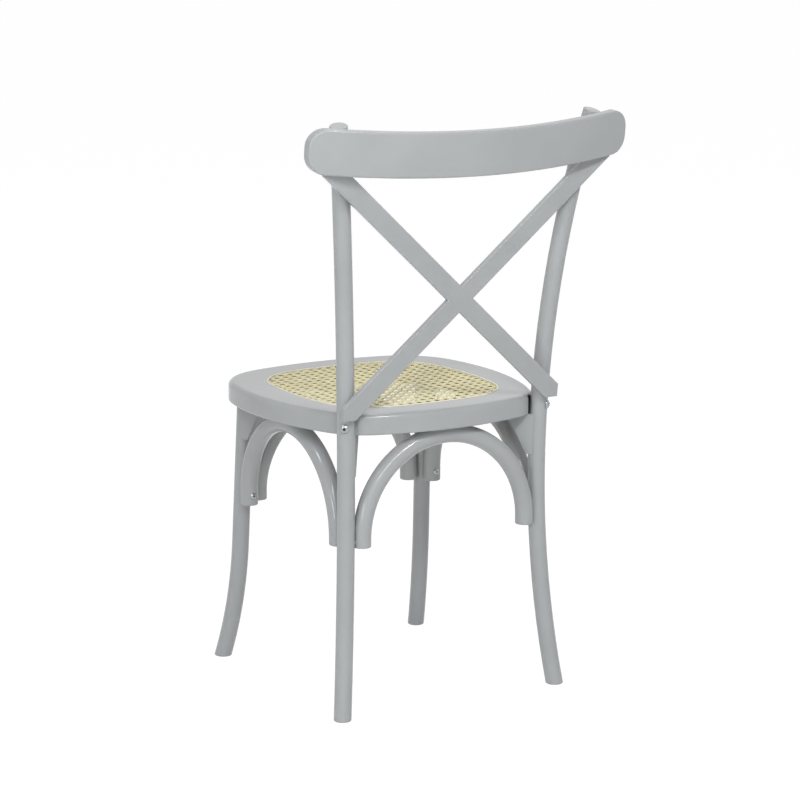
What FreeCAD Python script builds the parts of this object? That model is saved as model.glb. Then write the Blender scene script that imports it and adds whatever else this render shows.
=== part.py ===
import FreeCAD, Part
import math
import os
import Sketcher
from FreeCAD import Placement, Rotation, Vector

# Cross back chair
# A bentwood dining chair: two rear legs run up as back posts, two sabre front
# legs, a caned seat ring, four bent arches under the seat, a bowed crest rail
# and two slats halved together as a cross.
# Frame: +Z up, the chair faces -Y, X = 0 is the mirror plane, Z = 0 the floor.
# The origin lies on the floor under the middle of the whole chair.

doc = FreeCAD.newDocument("cross_back_chair")
sizes = doc.addObject("Spreadsheet::Sheet", "sizes")
sizes.Label = "sizes"

DRIVING_SIZES = [
    ("seat_centre", -42.1, "seat centre, measured from the origin along Y"),
    ("rod", 28.0, "diameter of the arches"),
    ("rear_rod", 27.0, "diameter of the rear legs"),
    ("front_rod", 27.0, "diameter of the front legs"),
    ("edge_round", 2.0, "rounding of sawn rod ends"),
    ("seat_top", 460.0, "height of the seat"),
    ("seat_thickness", 32.0, "thickness of the seat ring"),
    ("seat_width", 430.5, "widest part of the seat ring"),
    ("seat_reach", 214.5, "seat centre to front edge and to rear edge"),
    ("seat_side_shift", -20.0, "widest part, in front of the seat centre"),
    ("seat_side_bow", 420.0, "radius of the seat sides"),
    ("seat_front_bow", 540.0, "radius of the seat front"),
    ("seat_rear_bow", 440.0, "radius of the seat rear"),
    ("seat_front_corner", 112.0, "radius of the front corners"),
    ("seat_rear_corner", 90.0, "radius of the rear corners"),
    ("seat_edge", 8.0, "rounding of the upper outer edge"),
    ("seat_under_edge", 3.0, "rounding of the lower outer edge"),
    ("cane_width", 321.0, "caned field, across"),
    ("cane_reach", 163.5, "caned field, centre to front and to rear"),
    ("cane_side_bow", 500.0, "radius of the field sides"),
    ("cane_end_bow", 500.0, "radius of the field front and rear"),
    ("cane_corner", 92.0, "radius of the field corners"),
    ("cane_lip", 20.0, "ledge of the ring that carries the cane"),
    ("cane_drop", 1.6, "ledge below the seat top"),
    ("cane_sheet", 1.6, "thickness of the woven sheet"),
    ("cane_pitch", 25.4, "openings of the sheet, from one to the next"),
    ("cane_opening", 12.7, "side of an opening of the sheet"),
    ("groove", 5.0, "width of the spline groove"),
    ("groove_depth", 8.0, "depth of the spline groove"),
    ("spline_proud", 0.8, "spline above the seat top"),
    ("neck_height", 340.0, "where a rear leg stands upright"),
    ("neck_side", 169.9, "rear leg neck from the mirror plane"),
    ("neck_back", 179.6, "rear leg neck behind the seat centre"),
    ("rear_turn", 51.7, "compass turn of the rear leg's bending plane"),
    ("rear_foot_flare", 34.5, "how far a rear foot stands out from the neck"),
    ("post_flare", 80.4, "how far a post top stands out from the neck"),
    ("post_top", 899.0, "height of the post tops"),
    ("seat_facet", 12.5, "rear leg axis to its facet against the seat"),
    ("notch_gap", 3.4, "gap beside a rear leg in its seat notch"),
    ("notch_fit", 0.5, "gap on the leg's other side"),
    ("front_side", 164.0, "front leg top from the mirror plane"),
    ("front_front", -142.5, "front leg top, from the seat centre"),
    ("front_turn", -70.0, "compass turn of the front leg's bending plane"),
    ("front_lean", 3.15, "lean of the straight part of a front leg"),
    ("knee_height", 194.0, "where a front leg begins to sweep forward"),
    ("knee_bow", 680.0, "radius of the forward sweep"),
    ("spigot", 16.0, "diameter of the front leg's spigot"),
    ("spigot_length", 22.0, "spigot above the leg's shoulder"),
    ("front_arch_foot", 261.5, "height of the arch ends at the front legs"),
    ("rear_arch_foot", 257.5, "height of the arch ends at the rear legs"),
    ("arch_bite", 1.0, "flat planed on an arch where it bears"),
    ("arch_shift", 9.0, "crown of a side arch, in front of the middle of its span"),
    ("rear_arch_line", 184.6, "rear arch behind the seat centre"),
    ("rear_arch_wall", 158.0, "facet on the rear legs for the rear arch"),
    ("front_arch_line", -148.4, "front arch, from the seat centre"),
    ("front_arch_wall", 152.6, "facet on the front legs for the front arch"),
    ("side_arch_line", 169.0, "side arches from the mirror plane"),
    ("side_arch_front", -136.4, "facet on the front legs for a side arch"),
    ("side_arch_rear", 167.9, "facet on the rear legs for a side arch"),
    ("facet_top", 316.0, "upper end of the arch facets on the legs"),
    ("facet_bottom", 253.0, "lower end of the arch facets on the legs"),
    ("block_depth", 31.0, "corner block, leg to tip"),
    ("block_drop", 63.0, "corner block, seat to lower point"),
    ("block_width", 26.0, "corner block thickness"),
    ("slat_width", 29.5, "width of a slat"),
    ("slat_thickness", 8.5, "thickness of a slat"),
    ("slat_edge", 1.2, "easing of a slat's long edges"),
    ("slat_tilt", 48.0, "slat against the upright, in the back's plane"),
    ("back_lean", 7.0, "lean of the plane of the slats"),
    ("cross_height", 626.2, "height of the crossing"),
    ("cross_back", 226.4, "rear faces of the slats at the crossing"),
    ("slat_foot", 457.0, "lower cut of the slats"),
    ("slat_foot_side", 189.0, "outer cut at a slat's lower end"),
    ("slat_head", 852.0, "upper cut of the slats"),
    ("slat_head_side", 247.0, "outer cut at a slat's upper end"),
    ("crest_bow", 890.0, "radius of the crest rail's rear face"),
    ("crest_back", 295.6, "rear face of the crest at the middle"),
    ("crest_height", 851.2, "middle of the crest rail above the floor"),
    ("crest_lean", 6.0, "lean of the crest rail"),
    ("crest_width", 67.0, "width of the crest rail"),
    ("crest_thickness", 16.5, "thickness of the crest rail"),
    ("crest_half", 274.0, "half length of the crest rail"),
    ("crest_sweep", 10.5, "rise of the crest rail at its ends"),
    ("crest_corner", 27.5, "corner radius of the crest rail's ends"),
    ("crest_edge", 3.0, "rounding of the crest rail's edges"),
    ("bolt_height", 443.0, "height of the seat bolts"),
    ("bolt_shank", 6.0, "diameter of the seat bolts"),
    ("bolt_length", 62.0, "length of the seat bolts under the head"),
    ("bolt_head", 14.0, "diameter of the seat bolts' heads"),
    ("bolt_rise", 4.2, "height of the seat bolts' heads"),
    ("head_sink", 0.6, "how far a round head beds into the rod"),
    ("nut_bar", 10.2, "diameter of the barrel nuts"),
    ("nut_height", 18.0, "length of the barrel nuts"),
    ("nut_back", 8.0, "bolt end beyond the barrel nut's axis"),
    ("screw_shank", 4.4, "diameter of the wood screws"),
    ("screw_head", 10.0, "diameter of the arch screws' heads"),
    ("screw_rise", 3.0, "height of the arch screws' heads"),
    ("flat_head", 8.0, "diameter of the countersunk heads"),
    ("arch_screw_length", 42.0, "length of the arch screws under the head"),
    ("arch_screw_level", 16.0, "arch screws above the arch ends"),
    ("seat_screw_length", 45.0, "length of the screws from an arch into the seat"),
    ("seat_screw_sink", 1.2, "depth of their heads in the arch"),
    ("block_screw_length", 34.0, "length of the screws from a corner block into the seat"),
    ("block_screw_reach", 17.0, "corner block screw, from the leg's surface"),
    ("block_screw_drop", 26.5, "corner block screw's head below the seat"),
    ("arch_dowel", 7.0, "diameter of the dowels between arches and legs"),
    ("arch_dowel_length", 32.0, "length of those dowels"),
    ("arch_dowel_level", 9.0, "those dowels above the arch ends"),
    ("back_dowel", 6.0, "diameter of the dowels in the back"),
    ("back_dowel_start", 6.0, "their front ends, in front of the post's axis"),
    ("slat_dowel_length", 24.0, "length of the dowels into the slats"),
    ("slat_dowel_low", 474.0, "height of the lower slat dowels"),
    ("slat_dowel_high", 812.0, "height of the upper slat dowels"),
    ("crest_dowel_length", 31.0, "length of the dowels into the crest rail"),
    ("crest_dowel_low", 858.0, "height of the lower crest dowels"),
    ("crest_dowel_high", 880.0, "height of the upper crest dowels"),
]

DERIVED_SIZES = [
    ("seat_underside", "=seat_top - seat_thickness", "underside of the seat ring"),
    ("post_bow", "=((post_top - neck_height) ^ 2 + post_flare ^ 2) / (2 * post_flare)",
     "bend radius of the rear legs above the neck"),
    ("foot_bow", "=(neck_height ^ 2 + rear_foot_flare ^ 2) / (2 * rear_foot_flare)",
     "bend radius of the rear legs below the neck"),
    ("seat_wall", "=post_bow - sqrt(post_bow ^ 2 - (bolt_height - neck_height) ^ 2) - seat_facet",
     "rear leg's facet against the seat, from the neck"),
    ("knee_drift", "=(seat_underside - knee_height) * tan(front_lean * 1deg)",
     "how far the knee stands out from the leg's top"),
    ("crest_curve", "=(crest_half ^ 2 + crest_sweep ^ 2) / (2 * crest_sweep)",
     "radius of the crest rail's sweep, seen from behind"),
]

for row, (alias, value, meaning) in enumerate(DRIVING_SIZES + DERIVED_SIZES, start=1):
    sizes.set("A%d" % row, meaning)
    sizes.set("B%d" % row, str(value))
    sizes.setAlias("B%d" % row, alias)
doc.recompute()


def size(alias):
    return float(sizes.get(alias))


NEAR_SIDE = {"left": 1, "right": -1}
CENTRE = 3
START = 1
END = 2
ORIGIN_POINT = (-1, 1)
X_AXIS = -1
Y_AXIS = -2


# Helpers for bodies, sketches and features

def origin_plane(body, role):
    for feature in body.Origin.OriginFeatures:
        if feature.Role == role:
            return feature
    raise RuntimeError("no origin plane " + role)


def new_body(name):
    body = doc.addObject("PartDesign::Body", name)
    body.Label = name
    return body


def place(obj, position, rotation=None):
    """Set a placement whose three coordinates are expressions on the sheet."""
    obj.Placement = Placement(Vector(0, 0, 0), rotation or Rotation())
    for axis, expression in zip("xyz", position):
        obj.setExpression("Placement.Base." + axis, expression)


def new_sketch(body, name, role, offset=None, offset_expression=None):
    sketch = body.newObject("Sketcher::SketchObject", name)
    sketch.AttachmentSupport = [(origin_plane(body, role), "")]
    sketch.MapMode = "FlatFace"
    if offset is not None:
        sketch.AttachmentOffset = Placement(Vector(0, 0, offset), Rotation())
        sketch.setExpression("AttachmentOffset.Base.z", offset_expression)
    return sketch


def hold(sketch, name, constraint, expression):
    """Add a named dimension and bind it to the sheet."""
    index = sketch.addConstraint(constraint)
    sketch.renameConstraint(index, name)
    sketch.setExpression("Constraints." + name, expression)


def close_polygon(sketch, points):
    """Draw a closed polygon of straight lines and tie its corners."""
    first = sketch.GeometryCount
    count = len(points)
    for index in range(count):
        start = Vector(points[index][0], points[index][1], 0)
        end = Vector(points[(index + 1) % count][0], points[(index + 1) % count][1], 0)
        sketch.addGeometry(Part.LineSegment(start, end))
    for index in range(count):
        following = first + (index + 1) % count
        sketch.addConstraint(Sketcher.Constraint("Coincident", first + index, END, following, START))
    return first


def bound_polygon(sketch, corners):
    """A polygon whose corners are bound, each given as x, its expression, y, its expression."""
    first = close_polygon(sketch, [(corner[0], corner[2]) for corner in corners])
    for index, (x, x_expression, y, y_expression) in enumerate(corners, start=first):
        across = Sketcher.Constraint("DistanceX", *ORIGIN_POINT, index, START, x)
        hold(sketch, "across%d" % index, across, x_expression)
        upright = Sketcher.Constraint("DistanceY", *ORIGIN_POINT, index, START, y)
        hold(sketch, "upright%d" % index, upright, y_expression)


def rectangle(sketch, left, low, right, high, names, mark=""):
    """Draw a rectangle whose four sides are bound to expressions."""
    first = close_polygon(sketch, [(left, low), (right, low), (right, high), (left, high)])
    for index, kind in ((0, "Horizontal"), (1, "Vertical"), (2, "Horizontal"), (3, "Vertical")):
        sketch.addConstraint(Sketcher.Constraint(kind, first + index))
    hold(sketch, "left" + mark, Sketcher.Constraint("DistanceX", *ORIGIN_POINT, first, START, left), names[0])
    hold(sketch, "low" + mark, Sketcher.Constraint("DistanceY", *ORIGIN_POINT, first, START, low), names[1])
    hold(sketch, "right" + mark,
         Sketcher.Constraint("DistanceX", *ORIGIN_POINT, first + 1, END, right), names[2])
    hold(sketch, "high" + mark,
         Sketcher.Constraint("DistanceY", *ORIGIN_POINT, first + 1, END, high), names[3])


def circle(sketch, radius, radius_expression, centre_x=0.0, centre_expression=None, centre_y=0.0,
           height_expression=None):
    geometry = sketch.addGeometry(Part.Circle(Vector(centre_x, centre_y, 0), Vector(0, 0, 1), radius))
    hold(sketch, "radius%d" % geometry, Sketcher.Constraint("Radius", geometry, radius), radius_expression)
    if centre_expression is None:
        sketch.addConstraint(Sketcher.Constraint("PointOnObject", geometry, CENTRE, Y_AXIS))
    else:
        across = Sketcher.Constraint("DistanceX", *ORIGIN_POINT, geometry, CENTRE, centre_x)
        hold(sketch, "across%d" % geometry, across, centre_expression)
    if height_expression is None:
        sketch.addConstraint(Sketcher.Constraint("PointOnObject", geometry, CENTRE, X_AXIS))
    else:
        height = Sketcher.Constraint("DistanceY", *ORIGIN_POINT, geometry, CENTRE, centre_y)
        hold(sketch, "height%d" % geometry, height, height_expression)


def pad(body, name, sketch, length, midplane=False, downward=False):
    feature = body.newObject("PartDesign::Pad", name)
    feature.Profile = sketch
    feature.setExpression("Length", length)
    feature.Midplane = midplane
    feature.Reversed = downward
    return feature


def pocket(body, name, sketch, length=None, midplane=False, upward=False):
    """Cut a sketch; without a length it cuts through everything both ways."""
    before = body.Shape.Volume
    feature = body.newObject("PartDesign::Pocket", name)
    feature.Profile = sketch
    feature.Midplane = midplane
    feature.Reversed = upward
    if length is None:
        feature.Type = "ThroughAll"
    else:
        feature.setExpression("Length", length)
    doc.recompute()
    if abs(body.Shape.Volume - before) < 0.01:
        raise RuntimeError(name + " cut nothing")
    return feature


def round_edges(body, name, base, edges, expression):
    if not edges:
        raise RuntimeError(name + " found no edges")
    feature = body.newObject("PartDesign::Fillet", name)
    feature.Base = (base, edges)
    feature.setExpression("Radius", expression)
    doc.recompute()
    return feature


def edges_where(shape, test):
    return ["Edge%d" % (index + 1) for index, edge in enumerate(shape.Edges) if test(edge)]


def level_edges(shape, height, tolerance=0.01):
    """Names of the edges that lie wholly at one height."""
    def flat(edge):
        box = edge.BoundBox
        return abs(box.ZMin - height) < tolerance and abs(box.ZMax - height) < tolerance
    return edges_where(shape, flat)


def cut(name, base, tools):
    """The base less its tools, as a node of its own."""
    result = doc.addObject("Part::Cut", name)
    result.Base = base
    if len(tools) == 1:
        result.Tool = tools[0]
    else:
        joined = doc.addObject("Part::Compound", name + "_tools")
        joined.Links = tools
        result.Tool = joined
    result.Label = name
    return result


def group(name, members):
    node = doc.addObject("Part::Compound", name)
    node.Links = members
    node.Label = name
    return node


# Outline of eight tangent arcs, shared by the seat ring and the caned field

def meeting_centre(far_centre, far_radius, near_centre, near_radius, sign):
    """Centre at the two given distances from two centres, on the outer side."""
    span = near_centre - far_centre
    length = span.Length
    along = (far_radius ** 2 - near_radius ** 2 + length ** 2) / (2 * length)
    aside = math.sqrt(far_radius ** 2 - along ** 2)
    direction = span / length
    normal = Vector(-direction.y, direction.x, 0)
    options = [far_centre + direction * along + normal * aside * side for side in (1, -1)]
    return max(options, key=lambda point: point.x + sign * point.y)


def rounded_field(sketch, field, inset, inset_expression):
    """Eight tangent arcs; inset moves the whole outline inward, centres fixed."""
    half_width = size(field["width"]) / 2
    side_bow = size(field["side_bow"])
    front_bow = size(field["front_bow"])
    rear_bow = size(field["rear_bow"])
    front_corner = size(field["front_corner"])
    rear_corner = size(field["rear_corner"])
    reach = size(field["reach"])
    shift = field["shift"]
    front = Vector(0, front_bow - reach, 0)
    rear = Vector(0, reach - rear_bow, 0)
    right = Vector(half_width - side_bow, shift, 0)
    front_turn = meeting_centre(front, front_bow - front_corner, right, side_bow - front_corner, -1)
    rear_turn = meeting_centre(rear, rear_bow - rear_corner, right, side_bow - rear_corner, 1)

    def mirrored(point):
        return Vector(-point.x, point.y, 0)

    def heading(centre, towards):
        return math.atan2(towards.y - centre.y, towards.x - centre.x)

    def arc(centre, radius, first, last):
        while last <= first:
            last += 2 * math.pi
        return Part.ArcOfCircle(Part.Circle(centre, Vector(0, 0, 1), radius - inset), first, last)

    front_join = heading(front, front_turn)
    side_front_join = heading(right, front_turn)
    side_rear_join = heading(right, rear_turn)
    rear_join = heading(rear, rear_turn)
    arcs = [
        arc(front, front_bow, math.pi - front_join, front_join),
        arc(front_turn, front_corner, front_join, side_front_join),
        arc(right, side_bow, side_front_join, side_rear_join),
        arc(rear_turn, rear_corner, side_rear_join, rear_join),
        arc(rear, rear_bow, rear_join, math.pi - rear_join),
        arc(mirrored(rear_turn), rear_corner, math.pi - rear_join, math.pi - side_rear_join),
        arc(mirrored(right), side_bow, math.pi - side_rear_join, math.pi - side_front_join),
        arc(mirrored(front_turn), front_corner, math.pi - side_front_join, math.pi - front_join),
    ]
    first = sketch.GeometryCount
    sketch.addGeometry(arcs)
    count = len(arcs)
    for index in range(count):
        following = first + (index + 1) % count
        sketch.addConstraint(Sketcher.Constraint("Tangent", first + index, END, following, START))
    for near, far in ((2, 6), (1, 7), (3, 5)):
        sketch.addConstraint(Sketcher.Constraint("Equal", first + near, first + far))
    for index in (0, 4):
        sketch.addConstraint(Sketcher.Constraint("PointOnObject", first + index, CENTRE, Y_AXIS))
    sketch.addConstraint(Sketcher.Constraint("Symmetric", first + 2, CENTRE, first + 6, CENTRE, Y_AXIS))
    prefix = "ring%d_" % first
    radii = ((0, "front_bow"), (4, "rear_bow"), (2, "side_bow"), (1, "front_corner"), (3, "rear_corner"))
    for index, key in radii:
        value = size(field[key]) - inset
        expression = "sizes.%s - %s" % (field[key], inset_expression)
        hold(sketch, prefix + key, Sketcher.Constraint("Radius", first + index, value), expression)
    centres = (
        ("front", "DistanceY", 0, front.y, "sizes.%s - sizes.%s" % (field["front_bow"], field["reach"])),
        ("rear", "DistanceY", 4, rear.y, "sizes.%s - sizes.%s" % (field["reach"], field["rear_bow"])),
        ("side", "DistanceX", 2, right.x, "sizes.%s / 2 - sizes.%s" % (field["width"], field["side_bow"])),
        ("shift", "DistanceY", 2, right.y, field["shift_expression"]),
    )
    for key, kind, index, value, expression in centres:
        constraint = Sketcher.Constraint(kind, *ORIGIN_POINT, first + index, CENTRE, value)
        hold(sketch, prefix + key, constraint, expression)


SEAT_FIELD = {
    "width": "seat_width", "reach": "seat_reach", "side_bow": "seat_side_bow",
    "front_bow": "seat_front_bow", "rear_bow": "seat_rear_bow",
    "front_corner": "seat_front_corner", "rear_corner": "seat_rear_corner",
    "shift": size("seat_side_shift"), "shift_expression": "sizes.seat_side_shift",
}
CANE_FIELD = {
    "width": "cane_width", "reach": "cane_reach", "side_bow": "cane_side_bow",
    "front_bow": "cane_end_bow", "rear_bow": "cane_end_bow",
    "front_corner": "cane_corner", "rear_corner": "cane_corner",
    "shift": 0.0, "shift_expression": "0",
}
SEAT_UNDERSIDE = "sizes.seat_underside"
seat_underside = size("seat_underside")
rod_radius = size("rod") / 2
leg_radius = size("rear_rod") / 2


# Rear legs, which run up as the back posts

neck_height = size("neck_height")


def bend(body, name, sketch, axis, angle_expression, upward):
    """Turn a section about an axis in its own plane, upward or downward."""
    feature = body.newObject("PartDesign::Revolution", name)
    feature.Profile = sketch
    feature.ReferenceAxis = (sketch, [axis])
    feature.setExpression("Angle", angle_expression)
    doc.recompute()
    box = feature.AddSubShape.BoundBox
    above = box.ZMax - sketch.Shape.BoundBox.ZMax > sketch.Shape.BoundBox.ZMin - box.ZMin
    if above != upward:
        feature.Reversed = True
        doc.recompute()
    return feature


def bend_section(body, name, stock, bow, bow_expression, offset=None, offset_expression=None,
                 start=0.0, start_expression="0"):
    """A rod's round section with the bend's axis drawn beside it."""
    section = new_sketch(body, name, "XY_Plane", offset, offset_expression)
    circle(section, size(stock) / 2, "sizes.%s / 2" % stock, start, start_expression)
    half = size("rod")
    axis = section.addGeometry(Part.LineSegment(Vector(bow, -half, 0), Vector(bow, half, 0)), True)
    section.addConstraint(Sketcher.Constraint("Vertical", axis))
    for mark, point, sign in (("low", START, -1), ("high", END, 1)):
        end = Sketcher.Constraint("DistanceY", *ORIGIN_POINT, axis, point, sign * half)
        hold(section, "axis_" + mark, end, "%d * sizes.rod" % sign)
    across = Sketcher.Constraint("DistanceX", *ORIGIN_POINT, axis, START, bow)
    hold(section, "axis_side", across, bow_expression)
    return section


def leg_bend(body, name, length_expression, upward):
    """One arc of a rear leg, upright at the neck."""
    bow = size(name + "_bow")
    bow_expression = "sizes.%s_bow" % name
    section = bend_section(body, name + "_section", "rear_rod", bow, bow_expression,
                           neck_height, "sizes.neck_height")
    angle = "asin((%s) / %s)" % (length_expression, bow_expression)
    return bend(body, name, section, "Axis0", angle, upward)


def rear_leg_rod(side):
    """The bent rod alone, in its bending plane's frame, with the seat facet."""
    body = new_body("rear_rod_" + side)
    leg_bend(body, "post", "sizes.post_top - sizes.neck_height", True)
    leg_bend(body, "foot", "sizes.neck_height + sizes.rod", False)
    floor = new_sketch(body, "floor_cut", "XY_Plane")
    circle(floor, size("neck_height"), "sizes.neck_height")
    sawn = pocket(body, "sawn_foot", floor, "3 * sizes.rod")
    round_edges(body, "foot_round", sawn, level_edges(body.Shape, 0.0), "sizes.edge_round")
    top_height = size("post_top") - size("rod")
    rim = edges_where(body.Shape, lambda edge: edge.BoundBox.ZMin > top_height
                      and edge.Length > 3 * size("rear_rod"))
    round_edges(body, "top_round", body.Tip, rim, "sizes.edge_round")
    facet = new_sketch(body, "facet_line", "XZ_Plane")
    wall = size("seat_wall")
    rectangle(facet, wall - leg_radius, seat_underside, wall, size("seat_top") + 1,
              ("sizes.seat_wall - sizes.rear_rod / 2", SEAT_UNDERSIDE, "sizes.seat_wall",
               "sizes.seat_top + 1"))
    pocket(body, "seat_facet", facet, "2 * sizes.rod", midplane=True)
    stand(body, side, "rear")
    return body


def stand(body, side, end, lift="0"):
    """Place a body in the bending plane of a leg."""
    sign = NEAR_SIDE[side]
    turn = size(end + "_turn") if sign > 0 else 180 - size(end + "_turn")
    across, depth = ("neck_side", "neck_back") if end == "rear" else ("front_side", "front_front")
    place(body, ("%d * sizes.%s" % (sign, across), "sizes.seat_centre + sizes." + depth, lift),
          Rotation(Vector(0, 0, 1), turn))
    doc.recompute()


def facet_box(name, low_x, low_y, length, width):
    """A block that planes a facet on a leg for the end of an arch."""
    box = doc.addObject("Part::Box", name)
    box.setExpression("Length", length)
    box.setExpression("Width", width)
    box.setExpression("Height", "sizes.facet_top - sizes.facet_bottom")
    place(box, (low_x, low_y, "sizes.facet_bottom"))
    return box


def leg_facets(side, end):
    """Facets for the cross arch and for the side arch on one leg."""
    sign = NEAR_SIDE[side]
    low_x = "sizes.%s_arch_wall - sizes.rod" if sign > 0 else "-sizes.%s_arch_wall"
    low_y = "sizes.seat_centre + sizes.%s_arch_line - sizes.rod" % end
    cross = facet_box("%s_%s_cross_facet" % (end, side), low_x % end, low_y, "sizes.rod", "2 * sizes.rod")
    low_x = "%d * sizes.side_arch_line - sizes.rod" % sign
    low_y = "sizes.seat_centre + sizes.side_arch_%s" % end
    if end == "rear":
        low_y += " - sizes.rod"
    along = facet_box("%s_%s_side_facet" % (end, side), low_x, low_y, "2 * sizes.rod", "sizes.rod")
    return [cross, along]


# Front legs, straight above and swept forward below

def level_sketch(body, name, height, height_expression):
    """A sketch lying level in the world, in a body that leans with the leg."""
    lean = math.radians(size("front_lean"))
    sketch = body.newObject("Sketcher::SketchObject", name)
    sketch.AttachmentSupport = [(origin_plane(body, "XY_Plane"), "")]
    sketch.MapMode = "FlatFace"
    base = Vector(math.sin(lean), 0, math.cos(lean)) * height
    sketch.AttachmentOffset = Placement(base, Rotation(Vector(0, 1, 0), size("front_lean")))
    sketch.setExpression("AttachmentOffset.Base.x", "(%s) * sin(sizes.front_lean * 1deg)" % height_expression)
    sketch.setExpression("AttachmentOffset.Base.z", "(%s) * cos(sizes.front_lean * 1deg)" % height_expression)
    return sketch


def front_leg_rod(side):
    """Straight above the knee and bent forward below it, in the knee's frame."""
    body = new_body("front_rod_" + side)
    section = bend_section(body, "section", "front_rod", size("knee_bow"), "sizes.knee_bow")
    straight = new_sketch(body, "straight_section", "XY_Plane")
    circle(straight, size("front_rod") / 2, "sizes.front_rod / 2")
    pad(body, "straight", straight, SEAT_UNDERSIDE + " - sizes.knee_height + sizes.rod")
    bend(body, "sweep", section, "Axis0", "asin((sizes.knee_height + sizes.rod) / sizes.knee_bow)", False)
    floor = level_sketch(body, "floor_cut", -size("knee_height"), "-sizes.knee_height")
    circle(floor, size("knee_height"), "sizes.knee_height")
    sawn = pocket(body, "sawn_foot", floor, "3 * sizes.rod")
    lean = math.radians(size("front_lean"))
    up = Vector(math.sin(lean), 0, math.cos(lean))

    def at_floor(edge):
        ends = [vertex.Point for vertex in edge.Vertexes]
        ends.append(edge.valueAt((edge.FirstParameter + edge.LastParameter) / 2))
        return all(abs(point.dot(up) + size("knee_height")) < 0.01 for point in ends)

    round_edges(body, "foot_round", sawn, edges_where(body.Shape, at_floor), "sizes.edge_round")
    rise = seat_underside - size("knee_height")
    rise_expression = SEAT_UNDERSIDE + " - sizes.knee_height"
    shoulder = level_sketch(body, "shoulder_cut", rise, rise_expression)
    circle(shoulder, 2 * size("rod"), "2 * sizes.rod")
    pocket(body, "shoulder", shoulder, "3 * sizes.rod", upward=True)
    spigot = level_sketch(body, "spigot_section", rise, rise_expression)
    circle(spigot, size("spigot") / 2, "sizes.spigot / 2", -size("knee_drift"), "-sizes.knee_drift")
    pad(body, "spigot", spigot, "sizes.spigot_length")
    sign = NEAR_SIDE[side]
    turn = size("front_turn") if sign > 0 else 180 - size("front_turn")
    across = "%d * (sizes.front_side + sizes.knee_drift * cos(sizes.front_turn * 1deg))" % sign
    depth = "sizes.seat_centre + sizes.front_front + sizes.knee_drift * sin(sizes.front_turn * 1deg)"
    lean_turn = Rotation(Vector(0, 0, 1), turn).multiply(Rotation(Vector(0, 1, 0), -size("front_lean")))
    place(body, (across, depth, "sizes.knee_height"), lean_turn)
    doc.recompute()
    return body


# Arches, each one rod bent to an inverted U

def arch_rod(name, walls, feet, line, across):
    """A U-bend between two walls, planed where it bears on legs and seat."""
    body = new_body(name)
    low_wall, high_wall = [size(wall) for wall in walls]
    low_sign = 1
    if walls[0] == walls[1]:
        low_wall, low_sign = -high_wall, -1
    span = (high_wall - low_wall) / 2
    half = span - rod_radius + size("arch_bite")
    crown = seat_underside - rod_radius + size("arch_bite")
    shift = 0.0 if across else size("arch_shift")
    shift_expression = "0" if across else "sizes.arch_shift"
    low_expression = "%d * sizes.%s" % (low_sign, walls[0])
    span_expression = "(sizes.%s - (%s)) / 2" % (walls[1], low_expression)
    half_expression = "(%s - sizes.rod / 2 + sizes.arch_bite)" % span_expression
    crown_expression = "(%s - sizes.rod / 2 + sizes.arch_bite)" % SEAT_UNDERSIDE
    for mark, sign, foot in (("low", -1, feet[0]), ("high", 1, feet[1])):
        start = sign * half
        start_expression = "%d * %s" % (sign, half_expression)
        shoulder = crown - half - sign * shift
        shoulder_expression = "%s - %s - %d * %s" % (crown_expression, half_expression, sign,
                                                     shift_expression)
        section = bend_section(body, mark + "_bow_section", "rod", -shift, "-" + shift_expression,
                               shoulder, shoulder_expression, start, start_expression)
        bend(body, mark + "_bow", section, "Axis0", "90", True)
        straight = new_sketch(body, mark + "_straight_section", "XY_Plane", shoulder, shoulder_expression)
        circle(straight, rod_radius, "sizes.rod / 2", start, start_expression)
        pad(body, mark + "_straight", straight, "%s - sizes.%s" % (shoulder_expression, foot), downward=True)
    doc.recompute()
    ends = set(level_edges(body.Shape, size(feet[0]))) | set(level_edges(body.Shape, size(feet[1])))
    round_edges(body, "end_round", body.Tip, sorted(ends), "sizes.edge_round")
    top = new_sketch(body, "seat_bearing_line", "XY_Plane", seat_underside, SEAT_UNDERSIDE)
    circle(top, half / 2, half_expression + " / 2")
    pocket(body, "seat_bearing", top, "sizes.rod", upward=True)
    for mark, sign in (("low", -1), ("high", 1)):
        plane = new_sketch(body, mark + "_wall_line", "XZ_Plane")
        inner, outer = sorted((sign * span, sign * (span + rod_radius)))
        edge = "%d * (%s)" % (sign, span_expression)
        far = "%d * (%s + sizes.rod / 2)" % (sign, span_expression)
        low_edge, high_edge = (far, edge) if sign < 0 else (edge, far)
        names = (low_edge, "sizes.facet_bottom", high_edge, SEAT_UNDERSIDE)
        rectangle(plane, inner, size("facet_bottom"), outer, seat_underside, names)
        pocket(body, mark + "_wall", plane, "2 * sizes.rod", midplane=True)
    if across:
        place(body, ("0", "sizes.seat_centre + sizes." + line, "0"))
    else:
        sign = 1 if name.endswith("left") else -1
        place(body, ("%d * sizes.%s" % (sign, line),
                     "sizes.seat_centre + (sizes.%s + sizes.%s) / 2" % tuple(walls), "0"),
              Rotation(Vector(0, 0, 1), 90))
    doc.recompute()
    return body


# Corner blocks, wedges glued between a leg and the seat

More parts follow.
